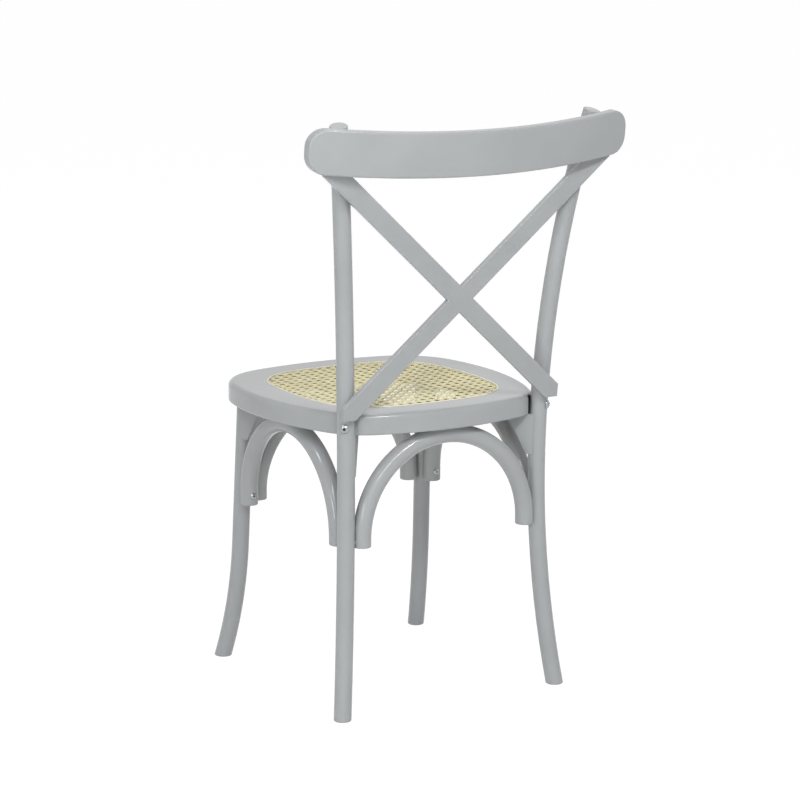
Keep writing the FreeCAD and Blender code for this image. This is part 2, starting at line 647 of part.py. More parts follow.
def corner_wedge(name, side, end):
    """A wedge in a leg's bending plane; the leg is cut out of it later."""
    body = new_body(name)
    line = new_sketch(body, "wedge_line", "XZ_Plane")
    root = -size(end + "_rod") / 2
    root_expression = "-sizes.%s_rod / 2" % end
    tip = root - size("block_depth")
    tip_expression = root_expression + " - sizes.block_depth"
    drop = seat_underside - size("block_drop")
    heel = seat_underside - size("edge_round")
    first = close_polygon(line, [(0, seat_underside), (tip, seat_underside), (tip, heel),
                                 (root, drop), (0, drop)])
    for index, kind in ((0, "Horizontal"), (1, "Vertical"), (3, "Horizontal"), (4, "Vertical")):
        line.addConstraint(Sketcher.Constraint(kind, first + index))
    line.addConstraint(Sketcher.Constraint("PointOnObject", first, START, Y_AXIS))
    marks = (
        ("top", "DistanceY", first, seat_underside, SEAT_UNDERSIDE),
        ("tip", "DistanceX", first + 1, tip, tip_expression),
        ("heel", "DistanceY", first + 2, heel, SEAT_UNDERSIDE + " - sizes.edge_round"),
        ("root", "DistanceX", first + 3, root, root_expression),
        ("drop", "DistanceY", first + 3, drop, SEAT_UNDERSIDE + " - sizes.block_drop"),
    )
    for mark, kind, geometry, value, expression in marks:
        constraint = Sketcher.Constraint(kind, *ORIGIN_POINT, geometry, START, value)
        hold(line, mark, constraint, expression)
    pad(body, "wedge", line, "sizes.block_width", midplane=True)
    doc.recompute()
    stand(body, side, end)
    return body


# Slats, two straight boards in one leaning plane

def slat_board(side):
    """A board that rises to one side, with its ends cut upright and level."""
    sign = NEAR_SIDE[side]
    body = new_body("slat_board_" + side)
    tilt = math.radians(size("slat_tilt"))
    cosine = math.cos(math.radians(size("back_lean")))
    along = Vector(math.sin(tilt), math.cos(tilt), 0)
    aside = Vector(math.cos(tilt), -math.sin(tilt), 0) * (size("slat_width") / 2)
    low = (size("slat_foot") - size("cross_height")) / cosine
    high = (size("slat_head") - size("cross_height")) / cosine
    foot_side = -size("slat_foot_side")
    head_side = size("slat_head_side")

    def at_side(edge, x):
        return edge + along * ((x - edge.x) / along.x)

    def at_level(edge, y):
        return edge + along * ((y - edge.y) / along.y)

    corners = [
        at_side(-aside, foot_side), Vector(foot_side, low, 0), at_level(aside, low),
        at_side(aside, head_side), Vector(head_side, high, 0), at_level(-aside, high),
    ]
    line = new_sketch(body, "board_line", "XZ_Plane")
    first = close_polygon(line, [(sign * corner.x, corner.y) for corner in corners])
    for index, kind in ((0, "Vertical"), (1, "Horizontal"), (3, "Vertical"), (4, "Horizontal")):
        line.addConstraint(Sketcher.Constraint(kind, first + index))
    line.addConstraint(Sketcher.Constraint("Parallel", first + 2, first + 5))
    marks = (
        ("foot_side", "DistanceX", first, sign * foot_side, "%d * sizes.slat_foot_side" % -sign),
        ("foot", "DistanceY", first + 1, low,
         "(sizes.slat_foot - sizes.cross_height) / cos(sizes.back_lean * 1deg)"),
        ("head_side", "DistanceX", first + 3, sign * head_side, "%d * sizes.slat_head_side" % sign),
        ("head", "DistanceY", first + 4, high,
         "(sizes.slat_head - sizes.cross_height) / cos(sizes.back_lean * 1deg)"),
    )
    for mark, kind, geometry, value, expression in marks:
        point = END if kind == "DistanceY" and geometry == first + 1 else START
        constraint = Sketcher.Constraint(kind, *ORIGIN_POINT, geometry, point, value)
        hold(line, mark, constraint, expression)
    half_width = size("slat_width") / 2
    for index in (2, 5):
        gap = Sketcher.Constraint("Distance", *ORIGIN_POINT, first + index, half_width)
        hold(line, "edge%d" % index, gap, "sizes.slat_width / 2")
    pad(body, "board", line, "sizes.slat_thickness")
    doc.recompute()

    def runs_along(edge):
        ends = [vertex.Point for vertex in edge.Vertexes]
        run = ends[1] - ends[0]
        return run.Length > 10 * size("slat_width") and abs(run.z) > size("slat_thickness")

    round_edges(body, "easing", body.Tip, edges_where(body.Shape, runs_along), "sizes.slat_edge")
    crossing = new_sketch(body, "crossing_line", "XZ_Plane")
    across = size("slat_width") / 2 / math.cos(tilt)
    upright = size("slat_width") / 2 / math.sin(tilt)
    across_expression = "%d * sizes.slat_width / (2 * cos(sizes.slat_tilt * 1deg))"
    upright_expression = "%d * sizes.slat_width / (2 * sin(sizes.slat_tilt * 1deg))"
    bound_polygon(crossing, [(-across, across_expression % -1, 0, "0"),
                             (0, "0", -upright, upright_expression % -1),
                             (across, across_expression % 1, 0, "0"),
                             (0, "0", upright, upright_expression % 1)])
    pad(body, "crossing", crossing, "sizes.slat_thickness")
    doc.recompute()
    half_thickness = size("slat_thickness") / 2
    halving = new_sketch(body, "halving_line", "XZ_Plane", half_thickness, "sizes.slat_thickness / 2")
    corners = []
    for end, edge in ((-1, -1), (1, -1), (1, 1), (-1, 1)):
        x = end * size("slat_width")
        y = sign * (edge * size("slat_width") / 2 - x * math.cos(tilt)) / math.sin(tilt)
        drift = "(%g - %d * cos(sizes.slat_tilt * 1deg))" % (edge / 2, end)
        y_expression = "%d * sizes.slat_width * %s / sin(sizes.slat_tilt * 1deg)" % (sign, drift)
        corners.append((x, "%d * sizes.slat_width" % end, y, y_expression))
    bound_polygon(halving, corners)
    pocket(body, "halving", halving, "sizes.slat_thickness", upward=side == "left")
    place(body, ("0", "sizes.seat_centre + sizes.cross_back", "sizes.cross_height"),
          Rotation(Vector(1, 0, 0), -size("back_lean")))
    doc.recompute()
    return body


# Crest rail, a board bowed backward with rounded ends

def crest_board():
    body = new_body("crest_board")
    rear = size("crest_bow")
    front = rear - size("crest_thickness")
    half = size("crest_half") + size("crest_edge")
    plan = new_sketch(body, "bow_line", "XY_Plane")
    centre = Vector(0, -rear, 0)
    arcs = []
    for bow in (rear, front):
        angle = math.asin(half / bow)
        board_face = Part.Circle(centre, Vector(0, 0, 1), bow)
        arcs.append(Part.ArcOfCircle(board_face, math.pi / 2 - angle, math.pi / 2 + angle))
    outer, inner = arcs
    plan.addGeometry(arcs)
    plan.addGeometry(Part.LineSegment(outer.StartPoint, inner.StartPoint))
    plan.addGeometry(Part.LineSegment(outer.EndPoint, inner.EndPoint))
    for line, end in ((2, START), (3, END)):
        plan.addConstraint(Sketcher.Constraint("Coincident", 0, end, line, START))
        plan.addConstraint(Sketcher.Constraint("Coincident", 1, end, line, END))
    plan.addConstraint(Sketcher.Constraint("Coincident", 0, CENTRE, 1, CENTRE))
    plan.addConstraint(Sketcher.Constraint("PointOnObject", 0, CENTRE, Y_AXIS))
    hold(plan, "rear_bow", Sketcher.Constraint("Radius", 0, rear), "sizes.crest_bow")
    hold(plan, "front_bow", Sketcher.Constraint("Radius", 1, front),
         "sizes.crest_bow - sizes.crest_thickness")
    depth = Sketcher.Constraint("DistanceY", *ORIGIN_POINT, 0, CENTRE, -rear)
    hold(plan, "centre", depth, "-sizes.crest_bow")
    for geometry in (0, 1):
        for end, sign in ((START, 1), (END, -1)):
            reach = Sketcher.Constraint("DistanceX", *ORIGIN_POINT, geometry, end, sign * half)
            hold(plan, "end%d_%d" % (geometry, end), reach,
                 "%d * (sizes.crest_half + sizes.crest_edge)" % sign)
    pad(body, "bowed_board", plan, "1.5 * sizes.crest_width", midplane=True)
    doc.recompute()
    face = new_sketch(body, "face_line", "XZ_Plane")
    crest_outline(face)
    pocket(body, "outline", face, "2 * sizes.crest_bow", midplane=True)
    front_and_rear = edges_where(body.Shape, is_crest_edge)
    round_edges(body, "edge_round", body.Tip, front_and_rear, "sizes.crest_edge")
    place(body, ("0", "sizes.seat_centre + sizes.crest_back", "sizes.crest_height"),
          Rotation(Vector(1, 0, 0), -size("crest_lean")))
    doc.recompute()
    return body


def is_crest_edge(edge):
    """True for the long outlines of the front and rear faces."""
    bow = size("crest_bow")
    middle = edge.valueAt((edge.FirstParameter + edge.LastParameter) / 2)
    spread = []
    for point in [middle] + [vertex.Point for vertex in edge.Vertexes]:
        spread.append(math.hypot(point.x, point.y + bow))
    on_rear = all(abs(distance - bow) < 0.01 for distance in spread)
    on_front = all(abs(distance - bow + size("crest_thickness")) < 0.01 for distance in spread)
    return on_rear or on_front


def crest_outline(sketch):
    """A frame with the crest's face left standing in the middle of it."""
    half = size("crest_half")
    rise = size("crest_width") / 2
    corner = size("crest_corner")
    bow = size("crest_curve")
    rectangle(sketch, -1.2 * half, -4 * rise, 1.2 * half, 4 * rise,
              ("-1.2 * sizes.crest_half", "-2 * sizes.crest_width",
               "1.2 * sizes.crest_half", "2 * sizes.crest_width"))
    top_bow = bow - rise
    low_bow = bow + rise
    centre = Vector(0, bow, 0)
    side = half - corner
    top_turn = Vector(side, bow - math.sqrt((top_bow + corner) ** 2 - side ** 2), 0)
    low_turn = Vector(side, bow - math.sqrt((low_bow - corner) ** 2 - side ** 2), 0)

    def towards(origin, target):
        return math.atan2(target.y - origin.y, target.x - origin.x)

    def arc(middle, radius, first, last):
        while last <= first:
            last += 2 * math.pi
        return Part.ArcOfCircle(Part.Circle(middle, Vector(0, 0, 1), radius), first, last)

    def mirrored(point):
        return Vector(-point.x, point.y, 0)

    top_angle = towards(centre, top_turn)
    low_angle = towards(centre, low_turn)
    top_side = top_angle + math.pi
    top = sketch.addGeometry(arc(centre, top_bow, -math.pi - top_angle, top_angle))
    low = sketch.addGeometry(arc(centre, low_bow, -math.pi - low_angle, low_angle))
    high_right = sketch.addGeometry(arc(top_turn, corner, 0, top_side))
    low_right = sketch.addGeometry(arc(low_turn, corner, low_angle, 0))
    high_left = sketch.addGeometry(arc(mirrored(top_turn), corner, math.pi - top_side, math.pi))
    low_left = sketch.addGeometry(arc(mirrored(low_turn), corner, math.pi, math.pi - low_angle))
    right, left = [sketch.addGeometry(Part.LineSegment(Vector(x, low_turn.y, 0), Vector(x, top_turn.y, 0)))
                   for x in (half, -half)]
    joins = (
        (top, END, high_right, END), (high_right, START, right, END), (right, START, low_right, END),
        (low_right, START, low, END), (low, START, low_left, END), (low_left, START, left, START),
        (left, END, high_left, END), (high_left, START, top, START),
    )
    for join in joins:
        sketch.addConstraint(Sketcher.Constraint("Tangent", *join))
    for other in (low_right, high_left, low_left):
        sketch.addConstraint(Sketcher.Constraint("Equal", high_right, other))
    sketch.addConstraint(Sketcher.Constraint("PointOnObject", top, CENTRE, Y_AXIS))
    sketch.addConstraint(Sketcher.Constraint("Coincident", low, CENTRE, top, CENTRE))
    hold(sketch, "curve_centre", Sketcher.Constraint("DistanceY", *ORIGIN_POINT, top, CENTRE, bow),
         "sizes.crest_curve")
    hold(sketch, "top_curve", Sketcher.Constraint("Radius", top, top_bow),
         "sizes.crest_curve - sizes.crest_width / 2")
    hold(sketch, "low_curve", Sketcher.Constraint("Radius", low, low_bow),
         "sizes.crest_curve + sizes.crest_width / 2")
    hold(sketch, "corner", Sketcher.Constraint("Radius", high_right, corner), "sizes.crest_corner")
    hold(sketch, "right_end", Sketcher.Constraint("DistanceX", *ORIGIN_POINT, right, START, half),
         "sizes.crest_half")
    hold(sketch, "left_end", Sketcher.Constraint("DistanceX", *ORIGIN_POINT, left, START, -half),
         "-sizes.crest_half")


# Seat ring with its cane field

def seat_ring():
    body = new_body("seat_ring")
    plan = new_sketch(body, "ring_line", "XY_Plane", size("seat_top"), "sizes.seat_top")
    rounded_field(plan, SEAT_FIELD, 0.0, "0")
    rounded_field(plan, CANE_FIELD, size("cane_lip"), "sizes.cane_lip")
    ring = pad(body, "ring", plan, "sizes.seat_thickness", downward=True)
    doc.recompute()

    top_edges = set(level_edges(body.Shape, size("seat_top")))
    outer_edges = set(edges_where(body.Shape, is_outside_cane))
    upper = sorted(top_edges & outer_edges)
    rounded = round_edges(body, "upper_round", ring, upper, "sizes.seat_edge")
    under_edges = set(level_edges(body.Shape, seat_underside))
    outer_edges = set(edges_where(body.Shape, is_outside_cane))
    under = sorted(under_edges & outer_edges)
    rounded = round_edges(body, "under_round", rounded, under, "sizes.seat_under_edge")
    ledge = new_sketch(body, "ledge_line", "XY_Plane", size("seat_top"), "sizes.seat_top")
    rounded_field(ledge, CANE_FIELD, 0.0, "0")
    pocket(body, "ledge", ledge, "sizes.cane_drop")
    trench = new_sketch(body, "groove_line", "XY_Plane", size("seat_top"), "sizes.seat_top")
    rounded_field(trench, CANE_FIELD, 0.0, "0")
    rounded_field(trench, CANE_FIELD, size("groove"), "sizes.groove")
    pocket(body, "groove", trench, "sizes.groove_depth")
    place(body, ("0", "sizes.seat_centre", "0"))
    doc.recompute()
    return body


def is_outside_cane(edge):
    """True for an edge beyond the caned field."""
    middle = edge.valueAt((edge.FirstParameter + edge.LastParameter) / 2)
    return abs(middle.x) > size("cane_width") / 2 + 5 or abs(middle.y) > size("cane_reach") + 5 or (
        middle.Length > 0 and math.hypot(middle.x, middle.y) > 1.17 * size("cane_reach"))


def seat_notch(side):
    """The recess in a rear corner of the seat that lets in the leg."""
    sign = NEAR_SIDE[side]
    body = new_body("seat_notch_" + side)
    plan = new_sketch(body, "notch_line", "XY_Plane", seat_underside - 1, SEAT_UNDERSIDE + " - 1")
    wall = size("seat_wall")
    tight = leg_radius + size("notch_fit")
    wide = leg_radius + size("notch_gap")
    tight_expression = "(sizes.rear_rod / 2 + sizes.notch_fit)"
    wide_expression = "(sizes.rear_rod / 2 + sizes.notch_gap)"
    if sign > 0:
        low, high = -tight, wide
        low_expression, high_expression = "-" + tight_expression, wide_expression
    else:
        low, high = -wide, tight
        low_expression, high_expression = "-" + wide_expression, tight_expression
    rectangle(plan, wall, low, wall + 3 * leg_radius, high,
              ("sizes.seat_wall", low_expression, "sizes.seat_wall + 1.5 * sizes.rear_rod", high_expression))
    pad(body, "notch", plan, "sizes.seat_thickness + 2")
    stand(body, side, "rear")
    return body


def cane_sheet():
    """The woven sheet: flat over the ring's ledge, turned down into the groove. A plain
    grid of openings, every second one of the weave, stands for its openwork."""
    body = new_body("cane_panel")
    level = size("seat_top") - size("cane_drop")
    level_expression = "sizes.seat_top - sizes.cane_drop"
    rim = size("groove")
    field = new_sketch(body, "sheet_line", "XY_Plane", level, level_expression)
    rounded_field(field, CANE_FIELD, rim - size("cane_sheet"), "(sizes.groove - sizes.cane_sheet)")
    pad(body, "sheet", field, "sizes.cane_sheet")
    hem = new_sketch(body, "hem_line", "XY_Plane", level, level_expression)
    rounded_field(hem, CANE_FIELD, rim - size("cane_sheet"), "(sizes.groove - sizes.cane_sheet)")
    rounded_field(hem, CANE_FIELD, rim, "sizes.groove")
    pad(body, "hem", hem, "sizes.groove_depth - sizes.cane_drop", downward=True)
    doc.recompute()
    for first_row, count in ((-3, 11), (-4, 9), (-5, 7)):
        name = "row%d" % abs(first_row)
        rows = new_sketch(body, name + "_line", "XY_Plane", size("seat_top"), "sizes.seat_top")
        opening_row(rows, first_row, count)
        opened = pocket(body, name, rows, "2 * sizes.cane_sheet")
        repeat = body.newObject("PartDesign::LinearPattern", name + "_repeat")
        repeat.Originals = [opened]
        repeat.Direction = (rows, ["V_Axis"])
        repeat.setExpression("Length", "%d * sizes.cane_pitch" % (-2 * first_row))
        repeat.Occurrences = 7 if first_row == -3 else 2
        body.Tip = repeat
        doc.recompute()
    place(body, ("0", "sizes.seat_centre", "0"))
    doc.recompute()
    return body


def opening_row(sketch, row, count):
    """A level row of square openings, centred on the mirror plane."""
    pitch = size("cane_pitch")
    half = size("cane_opening") / 2
    low = "%d * sizes.cane_pitch - sizes.cane_opening / 2" % row
    high = "%d * sizes.cane_pitch + sizes.cane_opening / 2" % row
    for index in range(count):
        column = index - (count - 1) // 2
        left = "%d * sizes.cane_pitch - sizes.cane_opening / 2" % column
        right = "%d * sizes.cane_pitch + sizes.cane_opening / 2" % column
        rectangle(sketch, column * pitch - half, row * pitch - half, column * pitch + half,
                  row * pitch + half, (left, low, right, high), "%d" % index)


def spline_ring():
    """The reed wedged into the groove, its upper face rounded."""
    body = new_body("cane_spline")
    floor = size("seat_top") - size("groove_depth")
    plan = new_sketch(body, "reed_line", "XY_Plane", floor, "sizes.seat_top - sizes.groove_depth")
    rounded_field(plan, CANE_FIELD, 0.0, "0")
    rounded_field(plan, CANE_FIELD, size("groove") - size("cane_sheet"), "(sizes.groove - sizes.cane_sheet)")
    reed = pad(body, "reed", plan, "sizes.groove_depth + sizes.spline_proud")
    doc.recompute()
    top = level_edges(body.Shape, size("seat_top") + size("spline_proud"))
    round_edges(body, "reed_round", reed, top, "sizes.spline_proud")
    place(body, ("0", "sizes.seat_centre", "0"))
    doc.recompute()
    return body


# Fasteners

def turned(name, corners, domed=False):
    """A turned fastener: half its outline, spun about Z. In a domed one the last corner but
    one is joined to the last by an arc whose centre lies on the axis."""
    body = new_body(name)
    sketch = new_sketch(body, "outline", "XZ_Plane")
    count = len(corners)
    for index in range(count):
        start = Vector(corners[index][0], corners[index][2], 0)
        end = Vector(corners[(index + 1) % count][0], corners[(index + 1) % count][2], 0)
        if domed and index == count - 2:
            rise = end.y - start.y
            radius = (start.x ** 2 + rise ** 2) / (2 * rise)
            dome = Part.Circle(Vector(0, end.y - radius, 0), Vector(0, 0, 1), radius)
            first = math.asin((radius - rise) / radius)
            sketch.addGeometry(Part.ArcOfCircle(dome, first, math.pi / 2))
            sketch.addConstraint(Sketcher.Constraint("PointOnObject", index, CENTRE, Y_AXIS))
        else:
            sketch.addGeometry(Part.LineSegment(start, end))
    for index in range(count):
        sketch.addConstraint(Sketcher.Constraint("Coincident", index, END, (index + 1) % count, START))
    for index, (x, x_expression, y, y_expression) in enumerate(corners):
        across = Sketcher.Constraint("DistanceX", *ORIGIN_POINT, index, START, x)
        hold(sketch, "across%d" % index, across, x_expression)
        upright = Sketcher.Constraint("DistanceY", *ORIGIN_POINT, index, START, y)
        hold(sketch, "upright%d" % index, upright, y_expression)
    feature = body.newObject("PartDesign::Revolution", "turning")
    feature.Profile = sketch
    feature.ReferenceAxis = (sketch, ["V_Axis"])
    feature.Angle = 360
    doc.recompute()
    return body


def round_headed(name, shank, length, head, rise):
    """A fastener with a domed head above Z = 0; the arguments are names on the sheet."""
    reach = "sizes.%s / 2" % shank
    half_shank = size(shank) / 2
    corners = [
        (0, "0", -size(length), "-sizes." + length),
        (half_shank, reach, -size(length), "-sizes." + length),
        (half_shank, reach, 0, "0"),
        (size(head) / 2, "sizes.%s / 2" % head, 0, "0"),
        (0, "0", size(rise), "sizes." + rise),
    ]
    return turned(name, corners, domed=True)


def countersunk(name, shank, length, head):
    """A screw whose flat head ends at Z = 0, coned at 45 degrees to its shank."""
    reach = "sizes.%s / 2" % shank
    half_shank = size(shank) / 2
    corners = [
        (0, "0", -size(length), "-sizes." + length),
        (half_shank, reach, -size(length), "-sizes." + length),
        (half_shank, reach, half_shank - size(head) / 2, "(sizes.%s - sizes.%s) / 2" % (shank, head)),
        (size(head) / 2, "sizes.%s / 2" % head, 0, "0"),
        (0, "0", 0, "0"),
    ]
    return turned(name, corners)


def leg_line(side, end, height, outward="0"):
    """X and Y, as expressions, of a point in a leg's bending plane: at a height, and so far
    outward from the leg's axis."""
    sign = NEAR_SIDE[side]
    if end == "rear":
        across, depth = "neck_side", "neck_back"
        bow = "sizes.post_bow - sqrt(sizes.post_bow ^ 2 - (%s - sizes.neck_height) ^ 2)" % height
    else:
        across, depth = "front_side", "front_front"
        bow = "(sizes.seat_underside - %s) * tan(sizes.front_lean * 1deg)" % height
    stand_out = "(%s + %s)" % (bow, outward)
    x = "%d * (sizes.%s + %s * cos(sizes.%s_turn * 1deg))" % (sign, across, stand_out, end)
    y = "sizes.seat_centre + sizes.%s + %s * sin(sizes.%s_turn * 1deg)" % (depth, stand_out, end)
    return x, y


def facing(direction):
    return Rotation(Vector(0, 0, 1), direction)


def dowel(name, diameter, length):
    pin = doc.addObject("Part::Cylinder", name)
    pin.setExpression("Radius", "sizes.%s / 2" % diameter)
    pin.setExpression("Height", "sizes." + length)
    return pin


def back_dowel(name, side, level, length):
    """A dowel driven rearward from inside a post, square to the slats."""
    pin = dowel(name, "back_dowel", length)
    lean = math.radians(size("back_lean"))
    x, y = leg_line(side, "rear", "sizes." + level)
    place(pin, (x, y + " - sizes.back_dowel_start * cos(sizes.back_lean * 1deg)",
                "sizes.%s + sizes.back_dowel_start * sin(sizes.back_lean * 1deg)" % level),
          facing(Vector(0, math.cos(lean), -math.sin(lean))))
    return pin


SIDES = ("left", "right")
ENDS = ("front", "rear")
nodes = []

arches = {
    "front": arch_rod("bent_front", ["front_arch_wall"] * 2, ["front_arch_foot"] * 2,
                      "front_arch_line", True),
    "rear": arch_rod("bent_rear", ["rear_arch_wall"] * 2, ["rear_arch_foot"] * 2,
                     "rear_arch_line", True),
}
for side in SIDES:
    arches[side] = arch_rod("bent_" + side, ["side_arch_front", "side_arch_rear"],
                            ["front_arch_foot", "rear_arch_foot"], "side_arch_line", False)
rods = {}
for side in SIDES:
    rods["rear", side] = rear_leg_rod(side)
    rods["front", side] = front_leg_rod(side)
boards = {side: slat_board(side) for side in SIDES}
crest = crest_board()
ring = seat_ring()
cane = cane_sheet()
spline = spline_ring()
notches = [seat_notch(side) for side in SIDES]

# Seat bolts: each passes through a rear leg and the seat's edge into a barrel nut.
bolts = {}
nut_bars = {}
nuts = {}
for side in SIDES:
    turn = math.radians(size("rear_turn"))
    outward = Vector(NEAR_SIDE[side] * math.cos(turn), math.sin(turn), 0)
    bolts[side] = round_headed("seat_bolt_" + side, "bolt_shank", "bolt_length", "bolt_head", "bolt_rise")
    head = "sizes.rear_rod / 2 - sizes.head_sink"
    x, y = leg_line(side, "rear", "sizes.bolt_height", head)
    place(bolts[side], (x, y, "sizes.bolt_height"), facing(outward))
    nut_bars[side] = dowel("nut_bar_" + side, "nut_bar", "nut_height")
    x, y = leg_line(side, "rear", "sizes.bolt_height", head + " - sizes.bolt_length + sizes.nut_back")
    place(nut_bars[side], (x, y, "sizes.bolt_height - sizes.nut_height / 2"))
    nuts[side] = cut("barrel_nut_" + side, nut_bars[side], [bolts[side]])

# Side arches are screwed to the legs; front and rear arches are doweled to them.
arch_screws = {}
arch_dowels = {}
for side in SIDES:
    sign = NEAR_SIDE[side]
    for end, inward in (("front", 1), ("rear", -1)):
        screw = round_headed("arch_screw_%s_%s" % (end, side), "screw_shank", "arch_screw_length",
                             "screw_head", "screw_rise")
        depth = "sizes.seat_centre + sizes.side_arch_" + end
        depth += " + %d * (sizes.rod - sizes.arch_bite - sizes.head_sink)" % inward
        place(screw, ("%d * sizes.side_arch_line" % sign, depth,
                      "sizes.%s_arch_foot + sizes.arch_screw_level" % end), facing(Vector(0, inward, 0)))
        arch_screws[end, side] = screw
        pin = dowel("arch_dowel_%s_%s" % (end, side), "arch_dowel", "arch_dowel_length")
        place(pin, ("%d * (sizes.%s_arch_wall - sizes.arch_dowel_length / 2)" % (sign, end),
                    "sizes.seat_centre + sizes.%s_arch_line" % end,
                    "sizes.%s_arch_foot + sizes.arch_dowel_level" % end), facing(Vector(sign, 0, 0)))
        arch_dowels[end, side] = pin

# Screws up through the arches' crowns into the seat.
seat_screws = {}
side_middle = "sizes.seat_centre + (sizes.side_arch_front + sizes.side_arch_rear) / 2 - sizes.arch_shift"
crowns = {
    "front": ("0", "sizes.seat_centre + sizes.front_arch_line"),
    "rear": ("0", "sizes.seat_centre + sizes.rear_arch_line"),
    "left": ("sizes.side_arch_line", side_middle),
    "right": ("-sizes.side_arch_line", side_middle),
}
for key, (x, y) in crowns.items():
    screw = countersunk("seat_screw_" + key, "screw_shank", "seat_screw_length", "flat_head")
    level = "sizes.seat_underside - sizes.rod + sizes.arch_bite + sizes.seat_screw_sink"
    place(screw, (x, y, level), facing(Vector(0, 0, -1)))
    seat_screws[key] = screw

# Corner blocks and their screws up into the seat.
wedges = {}
block_screws = {}
for end in ENDS:
    for side in SIDES:
        wedges[end, side] = corner_wedge("wedge_%s_%s" % (end, side), side, end)
        screw = countersunk("block_screw_%s_%s" % (end, side), "screw_shank", "block_screw_length",
                            "flat_head")
        reach = "-(sizes.%s_rod / 2 + sizes.block_screw_reach)" % end
        x, y = leg_line(side, end, "sizes.seat_underside", reach)
        place(screw, (x, y, "sizes.seat_underside - sizes.block_screw_drop"), facing(Vector(0, 0, -1)))
        block_screws[end, side] = screw

# Blind dowels from the posts into the slats and the crest rail.
slat_dowels = {}
crest_dowels = {}
for side in SIDES:
    for mark in ("low", "high"):
        slat_dowels[mark, side] = back_dowel("slat_dowel_%s_%s" % (mark, side), side,
                                             "slat_dowel_" + mark, "slat_dowel_length")
        crest_dowels[mark, side] = back_dowel("crest_dowel_%s_%s" % (mark, side), side,
                                              "crest_dowel_" + mark, "crest_dowel_length")
doc.recompute()

nodes.append(group("seat_bolts", list(bolts.values())))
nodes.append(group("seat_barrel_nuts", list(nuts.values())))
nodes.append(group("arch_screws", list(arch_screws.values())))
nodes.append(group("arch_dowels", list(arch_dowels.values())))
nodes.append(group("arch_seat_screws", list(seat_screws.values())))
nodes.append(group("corner_block_screws", list(block_screws.values())))
nodes.append(group("slat_dowels", list(slat_dowels.values())))
nodes.append(group("crest_dowels", list(crest_dowels.values())))

for side in SIDES:
    far_side = SIDES[1 - SIDES.index(side)]
    for end in ENDS:
        tools = leg_facets(side, end) + [arch_screws[end, side], arch_dowels[end, side]]
        if end == "rear":
            tools += [boards["left"], boards["right"], bolts[side]]
            tools += [pins[mark, side] for pins in (slat_dowels, crest_dowels) for mark in ("low", "high")]
        nodes.append(cut("%s_leg_%s" % (end, side), rods[end, side], tools))
        nodes.append(cut("corner_block_%s_%s" % (end, side), wedges[end, side],
                         [rods[end, side], block_screws[end, side]]))
    nodes.append(cut("cross_slat_" + side, boards[side],
                     [slat_dowels["high", side], slat_dowels["low", far_side]]))
    nodes.append(cut("arch_" + side, arches[side],
                     [arch_screws["front", side], arch_screws["rear", side], seat_screws[side]]))
for end in ENDS:
    nodes.append(cut("arch_" + end, arches[end],
                     [arch_dowels[end, "left"], arch_dowels[end, "right"], seat_screws[end]]))
nodes.append(cut("crest_rail", crest, [boards["left"], boards["right"], rods["rear", "left"],
                                       rods["rear", "right"]] + list(crest_dowels.values())))
nodes.append(cut("seat_frame", ring, notches + list(bolts.values()) + list(nut_bars.values())
                 + list(seat_screws.values()) + list(block_screws.values())
                 + [rods["front", "left"], rods["front", "right"]]))
nodes.append(cane)
nodes.append(spline)

doc.recompute()

for obj in doc.Objects:
    if "Invalid" in obj.State or "Error" in obj.State:
        raise RuntimeError("%s is %s" % (obj.Label, obj.State))

whole = None
for node in nodes:
    shape = node.Shape
    if shape.isNull() or not shape.isValid():
        raise RuntimeError(node.Label + " has no valid shape")
    print("%-28s solids %d  volume %.0f" % (node.Label, len(shape.Solids), shape.Volume))
    box = shape.BoundBox
    whole = box if whole is None else whole.united(box)

print("box X %.1f %.1f  Y %.1f %.1f  Z %.1f %.1f" % (
    whole.XMin, whole.XMax, whole.YMin, whole.YMax, whole.ZMin, whole.ZMax))

os.makedirs("parts", exist_ok=True)
for node in nodes:
    node.Shape.exportStep("parts/" + node.Label + ".step")
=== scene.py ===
import math

import bpy
import numpy as np
from mathutils import Matrix, Vector


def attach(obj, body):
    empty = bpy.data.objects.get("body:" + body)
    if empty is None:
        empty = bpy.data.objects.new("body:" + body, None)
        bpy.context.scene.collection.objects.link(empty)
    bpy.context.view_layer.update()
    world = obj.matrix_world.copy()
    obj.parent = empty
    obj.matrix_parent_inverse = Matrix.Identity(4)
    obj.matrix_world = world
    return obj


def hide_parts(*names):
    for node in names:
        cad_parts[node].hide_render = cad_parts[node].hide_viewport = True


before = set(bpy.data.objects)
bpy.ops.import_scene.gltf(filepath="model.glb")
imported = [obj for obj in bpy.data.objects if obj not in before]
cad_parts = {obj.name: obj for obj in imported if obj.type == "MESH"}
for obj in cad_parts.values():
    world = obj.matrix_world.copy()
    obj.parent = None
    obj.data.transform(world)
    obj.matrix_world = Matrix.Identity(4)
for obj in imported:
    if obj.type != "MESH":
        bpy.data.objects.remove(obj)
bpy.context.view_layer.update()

MM = 0.001


# Painted beech frame
# Legs, crest rail, slats, arches, corner blocks and seat ring are beech, the bent ones shaped
# with steam. All are sanded and sprayed with a cool light grey satin lacquer. They keep their
# solids from the frame.

def linear(hex_colour):
    """sRGB hex to linear RGBA."""
    channels = [int(hex_colour[i:i + 2], 16) / 255 for i in (1, 3, 5)]
    return [c / 12.92 if c <= 0.04045 else ((c + 0.055) / 1.055) ** 2.4 for c in channels] + [1.0]


def add(tree, kind, inputs=None, **settings):
    """Add a node with its settings; inputs hold values, or the sockets to link from."""
    node = tree.nodes.new(kind)
    for key, value in settings.items():
        setattr(node, key, value)
    for key, value in (inputs or {}).items():
        if isinstance(value, bpy.types.NodeSocket):
            tree.links.new(value, node.inputs[key])
        else:
            node.inputs[key].default_value = value
    return node


